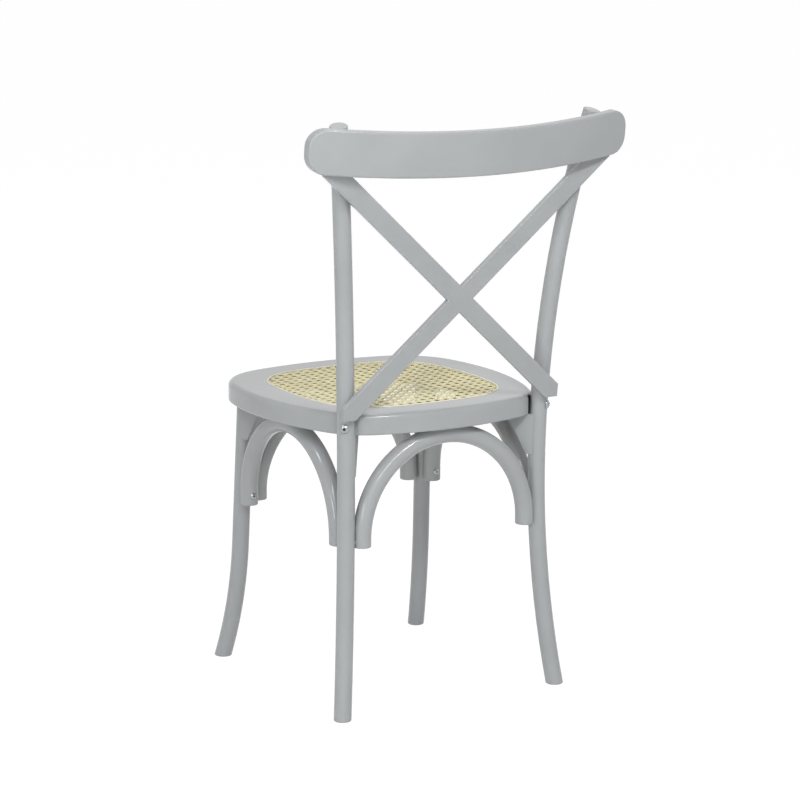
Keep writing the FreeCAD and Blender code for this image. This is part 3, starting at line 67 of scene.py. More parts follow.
def new_material(name):
    """An empty node material with its surface output."""
    material = bpy.data.materials.new(name)
    material.use_nodes = True
    material.node_tree.nodes.clear()
    output = add(material.node_tree, "ShaderNodeOutputMaterial")
    return material, material.node_tree, output


def maths(tree, operation, *values):
    """The result of one sum on numbers or sockets."""
    return add(tree, "ShaderNodeMath", dict(enumerate(values)), operation=operation).outputs[0]


def vector_maths(tree, operation, result, *values):
    """The named result of one sum on vectors."""
    return add(tree, "ShaderNodeVectorMath", dict(enumerate(values)), operation=operation).outputs[result]


def noise(tree, place, scale, detail, roughness=0.5):
    """Smooth noise over a place, with its scale in cells to the metre."""
    return add(tree, "ShaderNodeTexNoise", {"Vector": place, "Scale": scale, "Detail": detail,
                                            "Roughness": roughness}).outputs["Fac"]


def spread(tree, value, low, high, first=0.0, last=1.0):
    """A value between low and high laid out from first to last."""
    return add(tree, "ShaderNodeMapRange", {"Value": value, "From Min": low, "From Max": high,
                                            "To Min": first, "To Max": last}).outputs["Result"]


def two_tones(tree, share, first, last):
    """A colour ramp from one hex colour to another."""
    ramp = add(tree, "ShaderNodeValToRGB", {"Fac": share})
    ramp.color_ramp.elements[0].color = linear(first)
    ramp.color_ramp.elements[1].color = linear(last)
    return ramp


def relief(tree, height, strength, depth, under=None):
    """The normal of a surface that a height pattern lifts by up to a depth."""
    inputs = {"Height": height, "Strength": strength, "Distance": depth}
    if under is not None:
        inputs["Normal"] = under
    return add(tree, "ShaderNodeBump", inputs).outputs["Normal"]


def coat(tree, output, inputs):
    """The one shader of a finish, joined to the material's output."""
    shader = add(tree, "ShaderNodeBsdfPrincipled", inputs)
    tree.links.new(shader.outputs["BSDF"], output.inputs["Surface"])


def other_colour(tree, share, colour, hex_colour):
    """A colour, but another one where the share is 1."""
    return add(tree, "ShaderNodeMix", {0: share, 6: colour, 7: linear(hex_colour)},
               data_type="RGBA").outputs[2]


BARE_BEECH = "#A88A5E"
SEAT_CENTRE = -42.1 * MM
SEAT_TOP = 460 * MM
SEAT_UNDERSIDE = 428 * MM
INNER_REACH = 188 * MM       # takes in the ring's inner wall, not its outer one
UPPER_PAINT = 1.5 * MM       # how far the paint comes round the ring's inner edges
LOWER_PAINT = 0.5 * MM


def bare_inner_wall(tree, place, paint):
    """Paint, but bare beech on the seat ring's inner wall: within the reach of the seat's
    middle, below the cane and above the underside."""
    centred = add(tree, "ShaderNodeMapping", {"Vector": place, "Location": (0, -SEAT_CENTRE, 0),
                                              "Scale": (1, 1, 0)}).outputs["Vector"]
    reach = vector_maths(tree, "LENGTH", "Value", centred)
    level = add(tree, "ShaderNodeSeparateXYZ", {"Vector": place}).outputs["Z"]
    inside = maths(tree, "LESS_THAN", reach, INNER_REACH)
    below = maths(tree, "LESS_THAN", level, SEAT_TOP - UPPER_PAINT)
    above = maths(tree, "GREATER_THAN", level, SEAT_UNDERSIDE + LOWER_PAINT)
    wall = maths(tree, "MULTIPLY", maths(tree, "MULTIPLY", inside, below), above)
    return other_colour(tree, wall, paint, BARE_BEECH)


# Painted shade: a near-black colour on the notch wall beside the right rear leg
NOTCH_SHADE = "#29292B"
LEG_LINE = (-171.8 * MM, 139.9 * MM, 0)     # the right rear leg's middle at the seat's height
NOTCH_REACH = 26 * MM
FACING = 0.5                 # cosine of the widest angle at which a wall faces the leg


def painted_notch_shade(tree, place, paint):
    """Paint, but nearly black on the wall of the notch at the right rear leg: close to the
    leg's line and facing it. This is painted shade for the dark gap that shows there; the
    wall's real finish isn't known."""
    level = vector_maths(tree, "MULTIPLY", "Vector", place, (1, 1, 0))
    to_leg = vector_maths(tree, "SUBTRACT", "Vector", LEG_LINE, level)
    distance = vector_maths(tree, "LENGTH", "Value", to_leg)
    way = vector_maths(tree, "NORMALIZE", "Vector", to_leg)
    normal = add(tree, "ShaderNodeNewGeometry").outputs["True Normal"]
    facing = vector_maths(tree, "DOT_PRODUCT", "Value", normal, way)
    near = maths(tree, "LESS_THAN", distance, NOTCH_REACH)
    wall = maths(tree, "MULTIPLY", maths(tree, "GREATER_THAN", facing, FACING), near)
    return other_colour(tree, wall, paint, NOTCH_SHADE)


PAINT = "#A9ACAE"
PAINT_LIGHT = "#AEB1B2"
PAINT_ROUGHNESS = (0.13, 0.18)
LACQUER_IOR = 1.48
ORANGE_PEEL = 2.2 * MM       # ripple of sprayed lacquer
PEEL_STRENGTH = 0.04
GRAIN_WIDTH = 1.4 * MM       # beech pores telegraphing through the coat
GRAIN_LENGTH = 22 * MM
GRAIN_ROUGHNESS = 0.55
PORE_STRENGTH = 0.025
FINE_RELIEF = 0.1 * MM
MOTTLE = 90 * MM             # slow drift of the coat's thickness
GRAIN_SHARE = 0.3            # weight of the grain beside the drift
BLEND = (0.45, 0.85)         # range of the two together


def satin_lacquer(name, grain_axis, seat_ring=False):
    """Sprayed satin lacquer on beech: nearly even colour, a soft sheen broken by faint
    orange peel, and the wood's long pores just showing through along the grain."""
    material, tree, output = new_material(name)
    place = add(tree, "ShaderNodeTexCoord").outputs["Object"]
    stretch = [1 / GRAIN_WIDTH] * 3
    stretch[grain_axis] = 1 / GRAIN_LENGTH
    along = add(tree, "ShaderNodeMapping", {"Vector": place, "Scale": stretch}).outputs["Vector"]
    grain = noise(tree, along, 1.0, 3.0, GRAIN_ROUGHNESS)
    peel = noise(tree, place, 1 / ORANGE_PEEL, 1.0)
    drift = noise(tree, place, 1 / MOTTLE, 2.0)
    blend = maths(tree, "MULTIPLY_ADD", grain, GRAIN_SHARE, drift)
    colour = two_tones(tree, spread(tree, blend, *BLEND), PAINT, PAINT_LIGHT).outputs["Color"]
    gloss = spread(tree, blend, *BLEND, *PAINT_ROUGHNESS)
    pores = relief(tree, grain, PORE_STRENGTH, FINE_RELIEF)
    ripple = relief(tree, peel, PEEL_STRENGTH, FINE_RELIEF, pores)
    if seat_ring:
        # The seat ring gets bare beech on its inner wall and painted shade in the notch at the right rear
        # leg
        colour = painted_notch_shade(tree, place, bare_inner_wall(tree, place, colour))
    coat(tree, output, {"Base Color": colour, "Roughness": gloss, "IOR": LACQUER_IOR, "Normal": ripple})
    return material


def finish_node(name, material):
    """Give a frame node its material."""
    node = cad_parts[name]
    node.data.materials.clear()
    node.data.materials.append(material)


lacquer_upright = satin_lacquer("satin_lacquer_on_upright_beech", 2)
lacquer_across = satin_lacquer("satin_lacquer_on_cross_beech", 0)
lacquer_deep = satin_lacquer("satin_lacquer_on_side_beech", 1)
lacquer_ring = satin_lacquer("satin_lacquer_on_seat_ring", 0, seat_ring=True)
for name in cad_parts:
    if name.startswith(("rear_leg", "front_leg", "corner_block")):
        finish_node(name, lacquer_upright)
    elif name in ("crest_rail", "cross_slat_left", "cross_slat_right", "arch_front", "arch_rear"):
        finish_node(name, lacquer_across)
    elif name in ("arch_left", "arch_right"):
        finish_node(name, lacquer_deep)
    elif name == "seat_frame":
        finish_node(name, lacquer_ring)


# Woven cane
# Rattan rind split to narrow strands in the six-way pattern: pairs from front to back and
# from side to side, and single strands on both diagonals that cut the holes to octagons.
# The sheet is soaked, pressed into the seat's groove and dries tight.

FIELD_HALF = 160.5 * MM      # half the caned field's width
FIELD_REACH = 163.5 * MM     # half its depth
FIELD_BOW = 500 * MM         # radius of its four sides
FIELD_CORNER = 92 * MM       # radius of its corners
WEAVE_PITCH = 15.9 * MM
PAIR_GAP = 1.9 * MM          # each strand of a pair from the pair's middle
STRAND_WIDTH = 3.1 * MM
STRAND_THICKNESS = 0.5 * MM
CROWN_SHARE = 0.82           # where the strand's shoulders lie across its half width
SHOULDER_SHARE = 0.75        # and how high, in strand thicknesses
WEAVE_LEVEL = SEAT_TOP - 0.7 * MM
WEAVE_INSET = 4.1 * MM       # strands end in the groove behind the spline
SHORT_CHORD = 6 * MM         # a strand that comes less far inside the inset is left out
LONGEST_HALF = 300 * MM
BISECTIONS = 40
TUCK = 4.2 * MM              # how far a strand's end goes down into the groove
STATIONS = 168
STRAND_STEP = 7 * MM         # sets each strand's streaks apart from the next one's


def corner_centre():
    """Centre of a corner arc tangent inside the side arc and the end arc."""
    side = FIELD_HALF - FIELD_BOW
    end = FIELD_REACH - FIELD_BOW
    inner = FIELD_BOW - FIELD_CORNER
    span = math.hypot(side, end)
    reach = math.sqrt(inner ** 2 - (span / 2) ** 2)
    along = np.array([-side, end]) / span
    across = np.array([-along[1], along[0]])
    if across.sum() < 0:
        across = -across
    return np.array([side, end]) / 2 + across * reach


CORNER = corner_centre()


def field_depth(x, y):
    """How far a point lies inside the caned field's outline: the least distance to its
    arcs. By symmetry only the first quadrant is worked out."""
    x, y = np.abs(x), np.abs(y)
    side = FIELD_BOW - np.hypot(x - (FIELD_HALF - FIELD_BOW), y)
    end = FIELD_BOW - np.hypot(x, y - (FIELD_REACH - FIELD_BOW))
    dx, dy = x - CORNER[0], y - CORNER[1]
    corner = FIELD_CORNER - np.hypot(dx, dy)
    side_lead = np.array([CORNER[0] - (FIELD_HALF - FIELD_BOW), CORNER[1]])
    end_lead = np.array([CORNER[0], CORNER[1] - (FIELD_REACH - FIELD_BOW)])
    past_side = dx * -side_lead[1] + dy * side_lead[0] > 0
    past_end = dx * end_lead[1] - dy * end_lead[0] > 0
    return np.where(past_side & past_end, corner, np.minimum(side, end))


def strand_ends(points, direction):
    """Run each line both ways from its nearest point to the centre, by bisection, to where
    it comes within the weave's inset of the outline. Lines that miss the field drop out."""
    inside = field_depth(points[:, 0], points[:, 1]) > WEAVE_INSET + SHORT_CHORD
    points = points[inside]
    ends = []
    for sign in (-1, 1):
        near = np.zeros(len(points))
        far = np.full(len(points), LONGEST_HALF)
        for _ in range(BISECTIONS):
            halfway = (near + far) / 2
            trial = points + direction * (sign * halfway)[:, None]
            within = field_depth(trial[:, 0], trial[:, 1]) > WEAVE_INSET
            near = np.where(within, halfway, near)
            far = np.where(within, far, halfway)
        ends.append(sign * near)
    return points, ends[0], ends[1]


def tube_mesh(name, rings, run):
    """One closed tube per strand. rings is [strand, station, corner, xyz] and run the
    (across, along, strand) attribute that the cane's streaks follow."""
    strands, stations, corners, _ = rings.shape
    index = np.arange(strands * stations * corners).reshape(strands, stations, corners)
    a, b = index[:, :-1], index[:, 1:]
    quads = np.stack([a, np.roll(a, -1, 2), np.roll(b, -1, 2), b], -1).reshape(-1, 4)
    caps = np.concatenate([index[:, 0, ::-1], index[:, -1]])
    mesh = bpy.data.meshes.new(name)
    mesh.vertices.add(index.size)
    mesh.vertices.foreach_set("co", rings.reshape(-1))
    loops = np.concatenate([quads.reshape(-1), caps.reshape(-1)])
    sizes = np.concatenate([np.full(len(quads), 4), np.full(len(caps), corners)])
    mesh.loops.add(len(loops))
    mesh.loops.foreach_set("vertex_index", loops)
    mesh.polygons.add(len(sizes))
    mesh.polygons.foreach_set("loop_start", np.concatenate([[0], np.cumsum(sizes)[:-1]]))
    mesh.polygons.foreach_set("loop_total", sizes)
    mesh.update(calc_edges=True)
    mesh.validate()
    attribute = mesh.attributes.new("run", "FLOAT_VECTOR", "POINT")
    attribute.data.foreach_set("vector", run.reshape(-1))
    mesh.shade_smooth()
    return mesh


def place_object(name, data):
    """A new object in the scene."""
    piece = bpy.data.objects.new(name, data)
    bpy.context.scene.collection.objects.link(piece)
    return piece


def cane_strands(name, offsets, angle, height):
    """Strands at the given offsets from the centre, running at an angle in the seat's
    plane. Each is a flat strip with a crowned top whose height follows the weave, and
    whose two ends go down into the groove."""
    direction = np.array([math.cos(angle), math.sin(angle)])
    side = np.array([-direction[1], direction[0]])
    starts, low, high = strand_ends(offsets[:, None] * side, direction)
    share = np.linspace(0, 1, STATIONS)
    along = low[:, None] + (high - low)[:, None] * share
    line = starts[:, None, :] + along[..., None] * direction
    lift = height(line[..., 0], line[..., 1])
    lift[:, [0, -1]] -= TUCK
    half = STRAND_WIDTH / 2
    shoulder = half * CROWN_SHARE
    across = np.array([-half, half, shoulder, 0, -shoulder])
    crown = (np.array([0, 0, SHOULDER_SHARE, 1, SHOULDER_SHARE]) - 0.5) * STRAND_THICKNESS
    rings = np.empty(line.shape[:2] + (len(across), 3))
    rings[..., :2] = line[:, :, None, :] + across[:, None] * side
    rings[..., 1] += SEAT_CENTRE
    rings[..., 2] = WEAVE_LEVEL + lift[:, :, None] + crown
    run = np.empty(rings.shape)
    run[..., 0] = across
    run[..., 1] = along[:, :, None]
    run[..., 2] = np.arange(len(starts))[:, None, None] * STRAND_STEP
    return place_object(name, tube_mesh(name, rings, run))


def pairs(reach):
    """Offsets of strands in pairs, a weave pitch apart."""
    count = int(reach / WEAVE_PITCH) + 1
    middles = np.arange(-count, count + 1) * WEAVE_PITCH
    return np.sort(np.concatenate([middles - PAIR_GAP, middles + PAIR_GAP]))


def singles(reach):
    """Offsets of single diagonals, midway between the crossings of the pairs."""
    step = WEAVE_PITCH / math.sqrt(2)
    count = int(reach / step) + 1
    return (np.arange(-count, count) + 0.5) * step


PAIR_RISE = 0.42 * MM        # how far the paired strands rise and dip
DIAGONAL_RISE = 0.95 * MM    # how far the diagonals do


def pair_height(run):
    """Rise and dip of a paired strand: a sine wave along it, one wave to a pitch and alike
    in every strand of its direction."""
    return PAIR_RISE * np.sin(2 * math.pi * run / WEAVE_PITCH)


def diagonal_height(x):
    """Over the pairs that run one way and under those that run the other: a cosine wave."""
    return DIAGONAL_RISE * np.cos(2 * math.pi * x / WEAVE_PITCH)


CANE_LIGHT = "#FAF4D0"
CANE = "#F6EEBE"
CANE_DARK = "#DECE9A"
CANE_IOR = 1.5
CANE_ROUGHNESS = 0.42
STREAK = 0.35 * MM           # fibre lines along the rind
FIBRE_LENGTH = 60 * MM
NODE_SPACING = 70 * MM       # darker joints of the rattan
FIBRE_SHIFT = 900            # cells to the metre from strand to strand
JOINT_SHIFT = 700
STREAK_RANGE = (0.62, 1.3)
CANE_MIDDLE = 0.35
RIDGE_STRENGTH = 0.3


def split_cane():
    """Rattan rind: pale straw with fine fibres along the strand, a low natural gloss, and
    here and there a darker joint. The streaks follow the run attribute."""
    material, tree, output = new_material("split_rattan_cane")
    run = add(tree, "ShaderNodeAttribute", attribute_name="run").outputs["Vector"]
    fibre_place = add(tree, "ShaderNodeMapping",
                      {"Vector": run, "Scale": (1 / STREAK, 1 / FIBRE_LENGTH, FIBRE_SHIFT)})
    fibre = noise(tree, fibre_place.outputs["Vector"], 1.0, 3.0)
    joint_place = add(tree, "ShaderNodeMapping",
                      {"Vector": run, "Scale": (0, 1 / NODE_SPACING, JOINT_SHIFT)})
    joint = noise(tree, joint_place.outputs["Vector"], 1.0, 2.0)
    mixed = maths(tree, "ADD", fibre, joint)
    tones = two_tones(tree, spread(tree, mixed, *STREAK_RANGE), CANE_DARK, CANE_LIGHT)
    tones.color_ramp.elements.new(CANE_MIDDLE).color = linear(CANE)
    ridges = relief(tree, fibre, RIDGE_STRENGTH, FINE_RELIEF)
    coat(tree, output, {"Base Color": tones.outputs["Color"], "Roughness": CANE_ROUGHNESS,
                        "IOR": CANE_IOR, "Normal": ridges})
    return material


cane = split_cane()
DIAGONAL_REACH = 1.4 * FIELD_REACH
weave_plan = [
    ("cane_front_to_back", pairs(FIELD_HALF), math.pi / 2, lambda x, y: pair_height(y)),
    ("cane_side_to_side", pairs(FIELD_REACH), 0.0, lambda x, y: -pair_height(x)),
    ("cane_rising_diagonals", singles(DIAGONAL_REACH), math.pi / 4, lambda x, y: diagonal_height(x)),
    ("cane_falling_diagonals", singles(DIAGONAL_REACH), -math.pi / 4, lambda x, y: -diagonal_height(x)),
]
for name, offsets, angle, height in weave_plan:
    strands = cane_strands(name, offsets, angle, height)
    strands.data.materials.append(cane)
    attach(strands, "root")
    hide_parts("cane_panel")


# Spline
# A reed core, soaked and hammered into the groove over the cane's edge, then trimmed. It
# shows as a pale rounded line round the weave.

REED = "#FCFAEA"
REED_SHADE = "#F2ECD2"
REED_FLECKS = 420.0          # to the metre
FLECK_RANGE = (0.3, 0.6)
FLECK_STRENGTH = 0.25
MATT = 0.6


def reed_core():
    """Peeled rattan core: matt, pale, with short fibre flecks."""
    material, tree, output = new_material("peeled_reed_core")
    place = add(tree, "ShaderNodeTexCoord").outputs["Object"]
    fleck = noise(tree, place, REED_FLECKS, 4.0)
    tones = two_tones(tree, fleck, REED_SHADE, REED)
    for element, position in zip(tones.color_ramp.elements, FLECK_RANGE):
        element.position = position
    rough = relief(tree, fleck, FLECK_STRENGTH, FINE_RELIEF)
    coat(tree, output, {"Base Color": tones.outputs["Color"], "Roughness": MATT, "Normal": rough})
    return material


finish_node("cane_spline", reed_core())


# Seat bolts and arch screws
# Bright plated button-head bolts with a hexagon socket hold the rear legs to the seat, and
# small round-head screws with a cross recess hold the side arches. Both are forged steel.

STEEL_SPOTS = 900.0          # to the metre
SMOOTHER = 0.05              # how far the spots lower and raise the roughness
ROUGHER = 0.12
PIT_STRENGTH = 0.08
PIT_DEPTH = 0.05 * MM


def plated_steel(name, tone, roughness):
    """Plated steel of a tone and roughness, with fine spots and pits that make a small head
    glint unevenly."""
    material, tree, output = new_material(name)
    place = add(tree, "ShaderNodeTexCoord").outputs["Object"]
    spots = noise(tree, place, STEEL_SPOTS, 2.0)
    gloss = spread(tree, spots, 0.0, 1.0, roughness - SMOOTHER, roughness + ROUGHER)
    pitted = relief(tree, spots, PIT_STRENGTH, PIT_DEPTH)
    coat(tree, output, {"Base Color": linear(tone), "Metallic": 1.0, "Roughness": gloss,
                        "Normal": pitted})
    return material


def hexagon(angles, reach):
    """Radius of a hexagon's outline at each angle: its reach to a flat over the cosine of
    the angle from that flat's middle."""
    turn = np.mod(angles, math.pi / 3) - math.pi / 6
    return reach / np.cos(turn)


ARM_SHARE = 0.2              # half a cross's arm, in shares of the cross's reach


def cross(angles, reach):
    """Radius of a cross recess at each angle: its reach inside an arm, and beside the arm
    half the arm's width over the sine of the angle from the arm's middle."""
    turn = np.abs(np.mod(angles + math.pi / 4, math.pi / 2) - math.pi / 4)
    arm = reach * ARM_SHARE
    return np.minimum(reach, arm / np.maximum(np.sin(turn), 1e-6))


HEAD_STEPS = 96
FLOOR_SHARES = (0.02, 0.5, 0.94)     # rings of the recess's floor, in shares of its mouth
RIM_SHARES = (0.985, 1.04)           # rings just inside and outside the mouth
LIP = 0.15 * MM                      # how far the inner one lies below the dome
DOME_DROP = 0.96                     # 1 would bring the dome's edge down to the seat
DOME_SHARES = np.linspace(0.15, 1, 10)
EDGE_HEIGHT = 0.25 * MM
UNDERSIDE_SHARE = 0.97               # the head's underside, in shares of its radius
TIP_SHARE = 0.05                     # the ring that closes the shank, in shares of its radius


def headed_fastener(name, seats, outward, head, rise, shank, length, outline, recess, depth):
    """Fasteners of one kind as one closed piece. Each is a surface of revolution: a profile
    from the recess's floor over the domed head to the shank's tip, on a grid of profile
    step and angle, whose recess rings follow the given outline. The dome is an ellipse."""
    angles = np.linspace(0, 2 * math.pi, HEAD_STEPS, endpoint=False)
    mouth = outline(angles, recess)
    inner_rim, outer_rim = [mouth * share for share in RIM_SHARES]

    def dome(radius):
        """Height of the head at a radius."""
        return rise * np.sqrt(np.clip(1 - (radius / head) ** 2 * DOME_DROP, 0, 1))

    floor_level = dome(recess) - depth
    rings = [(mouth * share, floor_level) for share in FLOOR_SHARES]
    rings += [(inner_rim, dome(mouth) - LIP), (outer_rim, dome(outer_rim))]
    for share in DOME_SHARES:
        radius = mouth * (1 - share) + head * share
        rings.append((radius, dome(radius)))
    circle = np.ones(HEAD_STEPS)
    rings += [(circle * head, EDGE_HEIGHT), (circle * head * UNDERSIDE_SHARE, 0.0)]
    rings += [(circle * shank, 0.0), (circle * shank, -length), (circle * shank * TIP_SHARE, -length)]
    vertices = []
    for seat, direction in zip(seats, outward):
        axis = direction / np.linalg.norm(direction)
        right = np.cross((0, 0, 1.0), axis)
        up = np.cross(axis, right)
        for radius, level in rings:
            ring = right * (radius * np.cos(angles))[:, None] + up * (radius * np.sin(angles))[:, None]
            vertices.append(ring + axis * np.broadcast_to(level, HEAD_STEPS)[:, None] + seat)
    vertices = np.array(vertices).reshape(len(seats), len(rings), HEAD_STEPS, 3)
    index = np.arange(vertices.size // 3).reshape(vertices.shape[:3])
    a, b = index[:, :-1], index[:, 1:]
    quads = np.stack([a, b, np.roll(b, -1, 2), np.roll(a, -1, 2)], -1).reshape(-1, 4)
    faces = quads.tolist() + index[:, 0].tolist() + index[:, -1, ::-1].tolist()
    mesh = bpy.data.meshes.new(name)
    mesh.from_pydata(vertices.reshape(-1, 3).tolist(), [], faces)
    # The recess's floor and walls, and the cap at its floor, take the second material: painted shade
    painted_shade_faces = np.zeros((len(seats), len(rings) - 1, HEAD_STEPS), int)
    painted_shade_faces[:, :len(FLOOR_SHARES)] = 1
    painted_shade_faces = np.concatenate([painted_shade_faces.reshape(-1), np.full(len(seats), 1), np.zeros(len(seats), int)])
    mesh.polygons.foreach_set("material_index", painted_shade_faces)
    mesh.shade_smooth()
    return place_object(name, mesh)


def solid_points(node, keep):
    """Vertices of a node that pass a test."""
    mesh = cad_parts[node].data
    points = np.empty(len(mesh.vertices) * 3)
    mesh.vertices.foreach_get("co", points)
    points = points.reshape(-1, 3)
    return points[keep(points)]


TOP_BAND = 0.05 * MM


def head_seat(points, direction, rise):
    """The point under a solid's head: the middle of its outermost points along the axis,
    less the rise."""
    height = points @ direction
    top = points[height > height.max() - TOP_BAND].mean(0)
    return top - direction * rise


BRIGHT_STEEL = "#A4A8AB"
BOLT_TURN = math.radians(51.7)       # the bolt's way out of the seat, from the chair's side
BOLT = {"head": 7 * MM, "rise": 4.2 * MM, "shank": 3 * MM, "length": 62 * MM,
        "outline": hexagon, "recess": 2.3 * MM, "depth": 2.4 * MM}
bolt_seats, bolt_axes = [], []
for sign in (1, -1):
    axis = np.array([sign * math.cos(BOLT_TURN), math.sin(BOLT_TURN), 0])
    points = solid_points("seat_bolts", lambda p: p[:, 0] * sign > 0)
    bolt_seats.append(head_seat(points, axis, BOLT["rise"]))
    bolt_axes.append(axis)
bolts = headed_fastener("seat_bolt_heads", bolt_seats, bolt_axes, **BOLT)
bolts.data.materials.append(plated_steel("bright_plated_bolts", BRIGHT_STEEL, 0.16))
# A near-black steel for the recesses: painted shade in the hollow of each head
recess_painted_shade = plated_steel("recess_painted_shade_steel", "#3E4244", 0.35)
bolts.data.materials.append(recess_painted_shade)
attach(bolts, "root")
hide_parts("seat_bolts")

SCREW = {"head": 5 * MM, "rise": 3 * MM, "shank": 2.2 * MM, "length": 42 * MM,
         "outline": cross, "recess": 2.6 * MM, "depth": 1.6 * MM}
screw_seats, screw_axes = [], []
for sign in (1, -1):
    for end in (1, -1):
        axis = np.array([0, end, 0.0])
        points = solid_points("arch_screws",
                              lambda p: (p[:, 0] * sign > 0) & ((p[:, 1] - SEAT_CENTRE) * -end > 0))
        screw_seats.append(head_seat(points, axis, SCREW["rise"]))
        screw_axes.append(axis)
screws = headed_fastener("arch_screw_heads", screw_seats, screw_axes, **SCREW)
screws.data.materials.append(plated_steel("bright_plated_screws", BRIGHT_STEEL, 0.2))
screws.data.materials.append(recess_painted_shade)
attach(screws, "root")
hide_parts("arch_screws")


# Hidden fixings
# Zinc-plated screws up into the seat, barrel nuts in it, and beech dowels in the joints. The
# dowels are painted, because the spraying comes after them and some bridge an open gap.

zinc = plated_steel("zinc_plated_steel", "#B9BCBE", 0.34)
for name in ("seat_barrel_nuts", "arch_seat_screws", "corner_block_screws"):
    finish_node(name, zinc)
for name in ("arch_dowels", "slat_dowels", "crest_dowels"):
    finish_node(name, lacquer_across)


# Studio
# A pale floor and a white surround. A long narrow key lamp rises from above the camera to its
# right, with a small lamp beside it. A narrow lamp and a small one stand to the left, and two
# weak fills at the camera and high over the chair's front.

CAMERA_TURN = 148.68         # degrees round from straight in front of the chair
CAMERA_RISE = 11.72
CAMERA_ROLL = 0.25
CAMERA_DISTANCE = 4769.54 * MM
CAMERA_SHIFT = (-27.81 * MM, 16.02 * MM)
PHOTO_SIDE = 800
PHOTO_FOCAL = 3064.72        # focal length in photograph pixels
SENSOR = 36.0
AIM = np.array([0, SEAT_CENTRE, 450 * MM])


def stance(axes, position):
    """The placing of an object whose three axes point given ways."""
    return Matrix.Translation(Vector(position)) @ Matrix(np.stack(axes, 1).tolist()).to_4x4()


def place_camera():
    """A camera that looks at the aim point from the photograph's angle."""
    turn, rise, roll = [math.radians(a) for a in (CAMERA_TURN, CAMERA_RISE, CAMERA_ROLL)]
    back = np.array([math.sin(turn) * math.cos(rise), -math.cos(turn) * math.cos(rise), math.sin(rise)])
    level = np.cross(-back, (0, 0, 1.0))
    level /= np.linalg.norm(level)
    upright = np.cross(level, -back)
    right = level * math.cos(roll) + upright * math.sin(roll)
    up = upright * math.cos(roll) - level * math.sin(roll)
    position = AIM + back * CAMERA_DISTANCE - right * CAMERA_SHIFT[0] - up * CAMERA_SHIFT[1]
    data = bpy.data.cameras.new("camera")
    data.sensor_width = SENSOR
    data.lens = PHOTO_FOCAL / PHOTO_SIDE * SENSOR
    data.clip_end = 100.0
    camera = place_object("camera", data)
    camera.matrix_world = stance([right, up, back], position)
    bpy.context.scene.camera = camera
    return right, back


camera_right, camera_back = place_camera()
sight = camera_back * (1, 1, 0) / math.hypot(*camera_back[:2])


def from_camera(towards, rightward, upward, distance=3.0):
    """A place at a distance from the chair, in a direction given as shares towards the
    camera, to its right and up."""
    direction = sight * towards + camera_right * (1, 1, 0) * rightward + np.array([0, 0, upward])
    return AIM + direction / np.linalg.norm(direction) * distance


def area_lamp(name, width, height, power, placing):
    """A rectangular lamp with a given placing."""
    data = bpy.data.lights.new(name, "AREA")
    data.shape = "RECTANGLE"
    data.size = width
    data.size_y = height
    data.energy = power
    place_object(name, data).matrix_world = placing


def softbox(name, position, width, height, power):
    """A level rectangular lamp that faces the chair."""
    turn = (Vector(AIM) - Vector(position)).to_track_quat("-Z", "Y").to_matrix().to_4x4()
    area_lamp(name, width, height, power, Matrix.Translation(Vector(position)) @ turn)


def strip_lamp(name, start, end, width, power):
    """A long narrow lamp from one place to another, turned to face the chair."""
    centre = (start + end) / 2
    length = float(np.linalg.norm(end - start))
    along = (end - start) / length
    away = (centre - AIM) / np.linalg.norm(centre - AIM)
    area_lamp(name, length, width, power, stance([along, np.cross(away, along), away], centre))


strip_lamp("key_strip", from_camera(0.90, -0.11, 0.42), from_camera(0.55, 0.48, 0.70), 0.26, 26)
softbox("camera_fill", from_camera(1.00, 0.05, 0.12, 3.5), 2.0, 2.0, 7)
softbox("front_fill", from_camera(-0.50, 0.00, 0.86), 1.2, 0.8, 9)
softbox("shoulder_spot", from_camera(0.63, 0.38, 0.68), 0.5, 0.5, 15)
strip_lamp("left_strip", from_camera(0.87, -0.50, 0.00), from_camera(0.78, -0.54, 0.28), 0.25, 12)
softbox("left_spot", from_camera(0.40, -0.55, 0.73), 0.5, 0.5, 12)

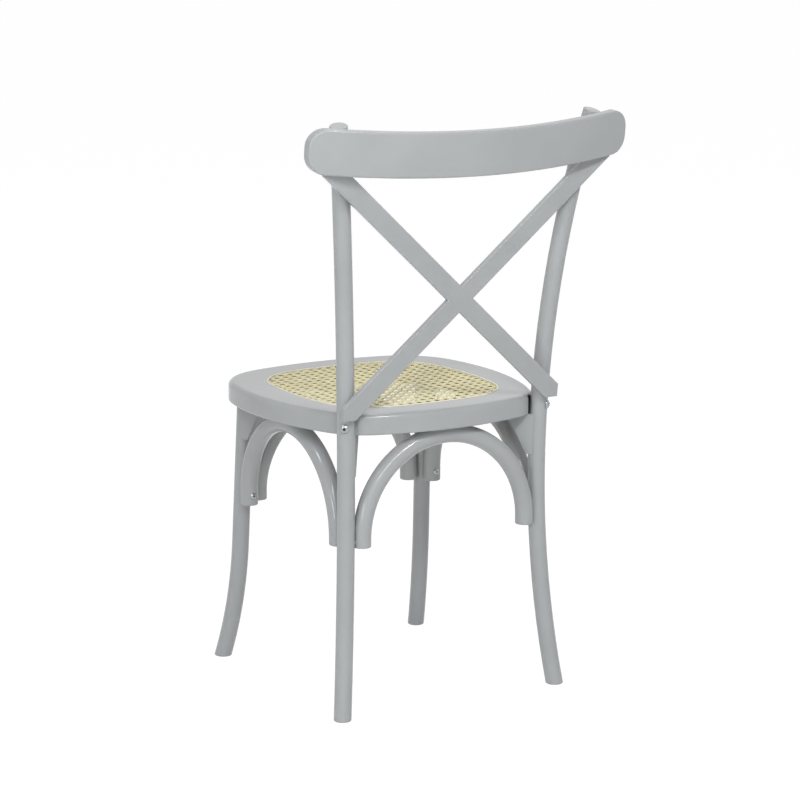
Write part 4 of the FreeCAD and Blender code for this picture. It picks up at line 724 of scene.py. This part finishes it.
FLOOR_GLOW = 0.94
FLOOR_SHADE = (0.2, 0.2, 0.2, 1)
FLOOR_PAPER = (0.85, 0.85, 0.85, 1)
WHITE = (1, 1, 1, 1)


def seen_or_mirrored(tree):
    """1 for camera rays and for rays that come from a mirroring surface, else 0."""
    rays = add(tree, "ShaderNodeLightPath")
    return maths(tree, "MAXIMUM", rays.outputs["Is Camera Ray"], rays.outputs["Is Glossy Ray"])


def studio_floor():
    """Pale paper: mostly its own white, so that it meets the surround, with enough diffuse
    in it to keep the object's shadow."""
    material, tree, output = new_material("pale_studio_paper")
    seen = seen_or_mirrored(tree)
    paper = add(tree, "ShaderNodeBsdfDiffuse", {"Color": FLOOR_PAPER})
    shade = add(tree, "ShaderNodeBsdfDiffuse", {"Color": FLOOR_SHADE})
    glow = add(tree, "ShaderNodeEmission", {"Color": WHITE, "Strength": FLOOR_GLOW})
    bright = add(tree, "ShaderNodeAddShader", {0: shade.outputs[0], 1: glow.outputs[0]})
    mix = add(tree, "ShaderNodeMixShader", {0: seen, 1: paper.outputs[0], 2: bright.outputs[0]})
    tree.links.new(mix.outputs[0], output.inputs["Surface"])
    return material


FLOOR_HALF = 30.0
floor_mesh = bpy.data.meshes.new("studio_floor")
corners = [(-FLOOR_HALF, -FLOOR_HALF, 0), (FLOOR_HALF, -FLOOR_HALF, 0),
           (FLOOR_HALF, FLOOR_HALF, 0), (-FLOOR_HALF, FLOOR_HALF, 0)]
floor_mesh.from_pydata(corners, [], [(0, 1, 2, 3)])
floor = place_object("studio_floor", floor_mesh)
floor.data.materials.append(studio_floor())

SKY_LIGHT = 0.26             # what the surround casts on the chair
world = bpy.data.worlds.new("studio")
bpy.context.scene.world = world
world.use_nodes = True
sky_tree = world.node_tree
sky_tree.nodes.clear()
strength = spread(sky_tree, seen_or_mirrored(sky_tree), 0.0, 1.0, SKY_LIGHT, 1.0)
sky = add(sky_tree, "ShaderNodeBackground", {"Color": WHITE, "Strength": strength})
add(sky_tree, "ShaderNodeOutputWorld", {"Surface": sky.outputs[0]})

bpy.context.scene.view_settings.view_transform = "Standard"
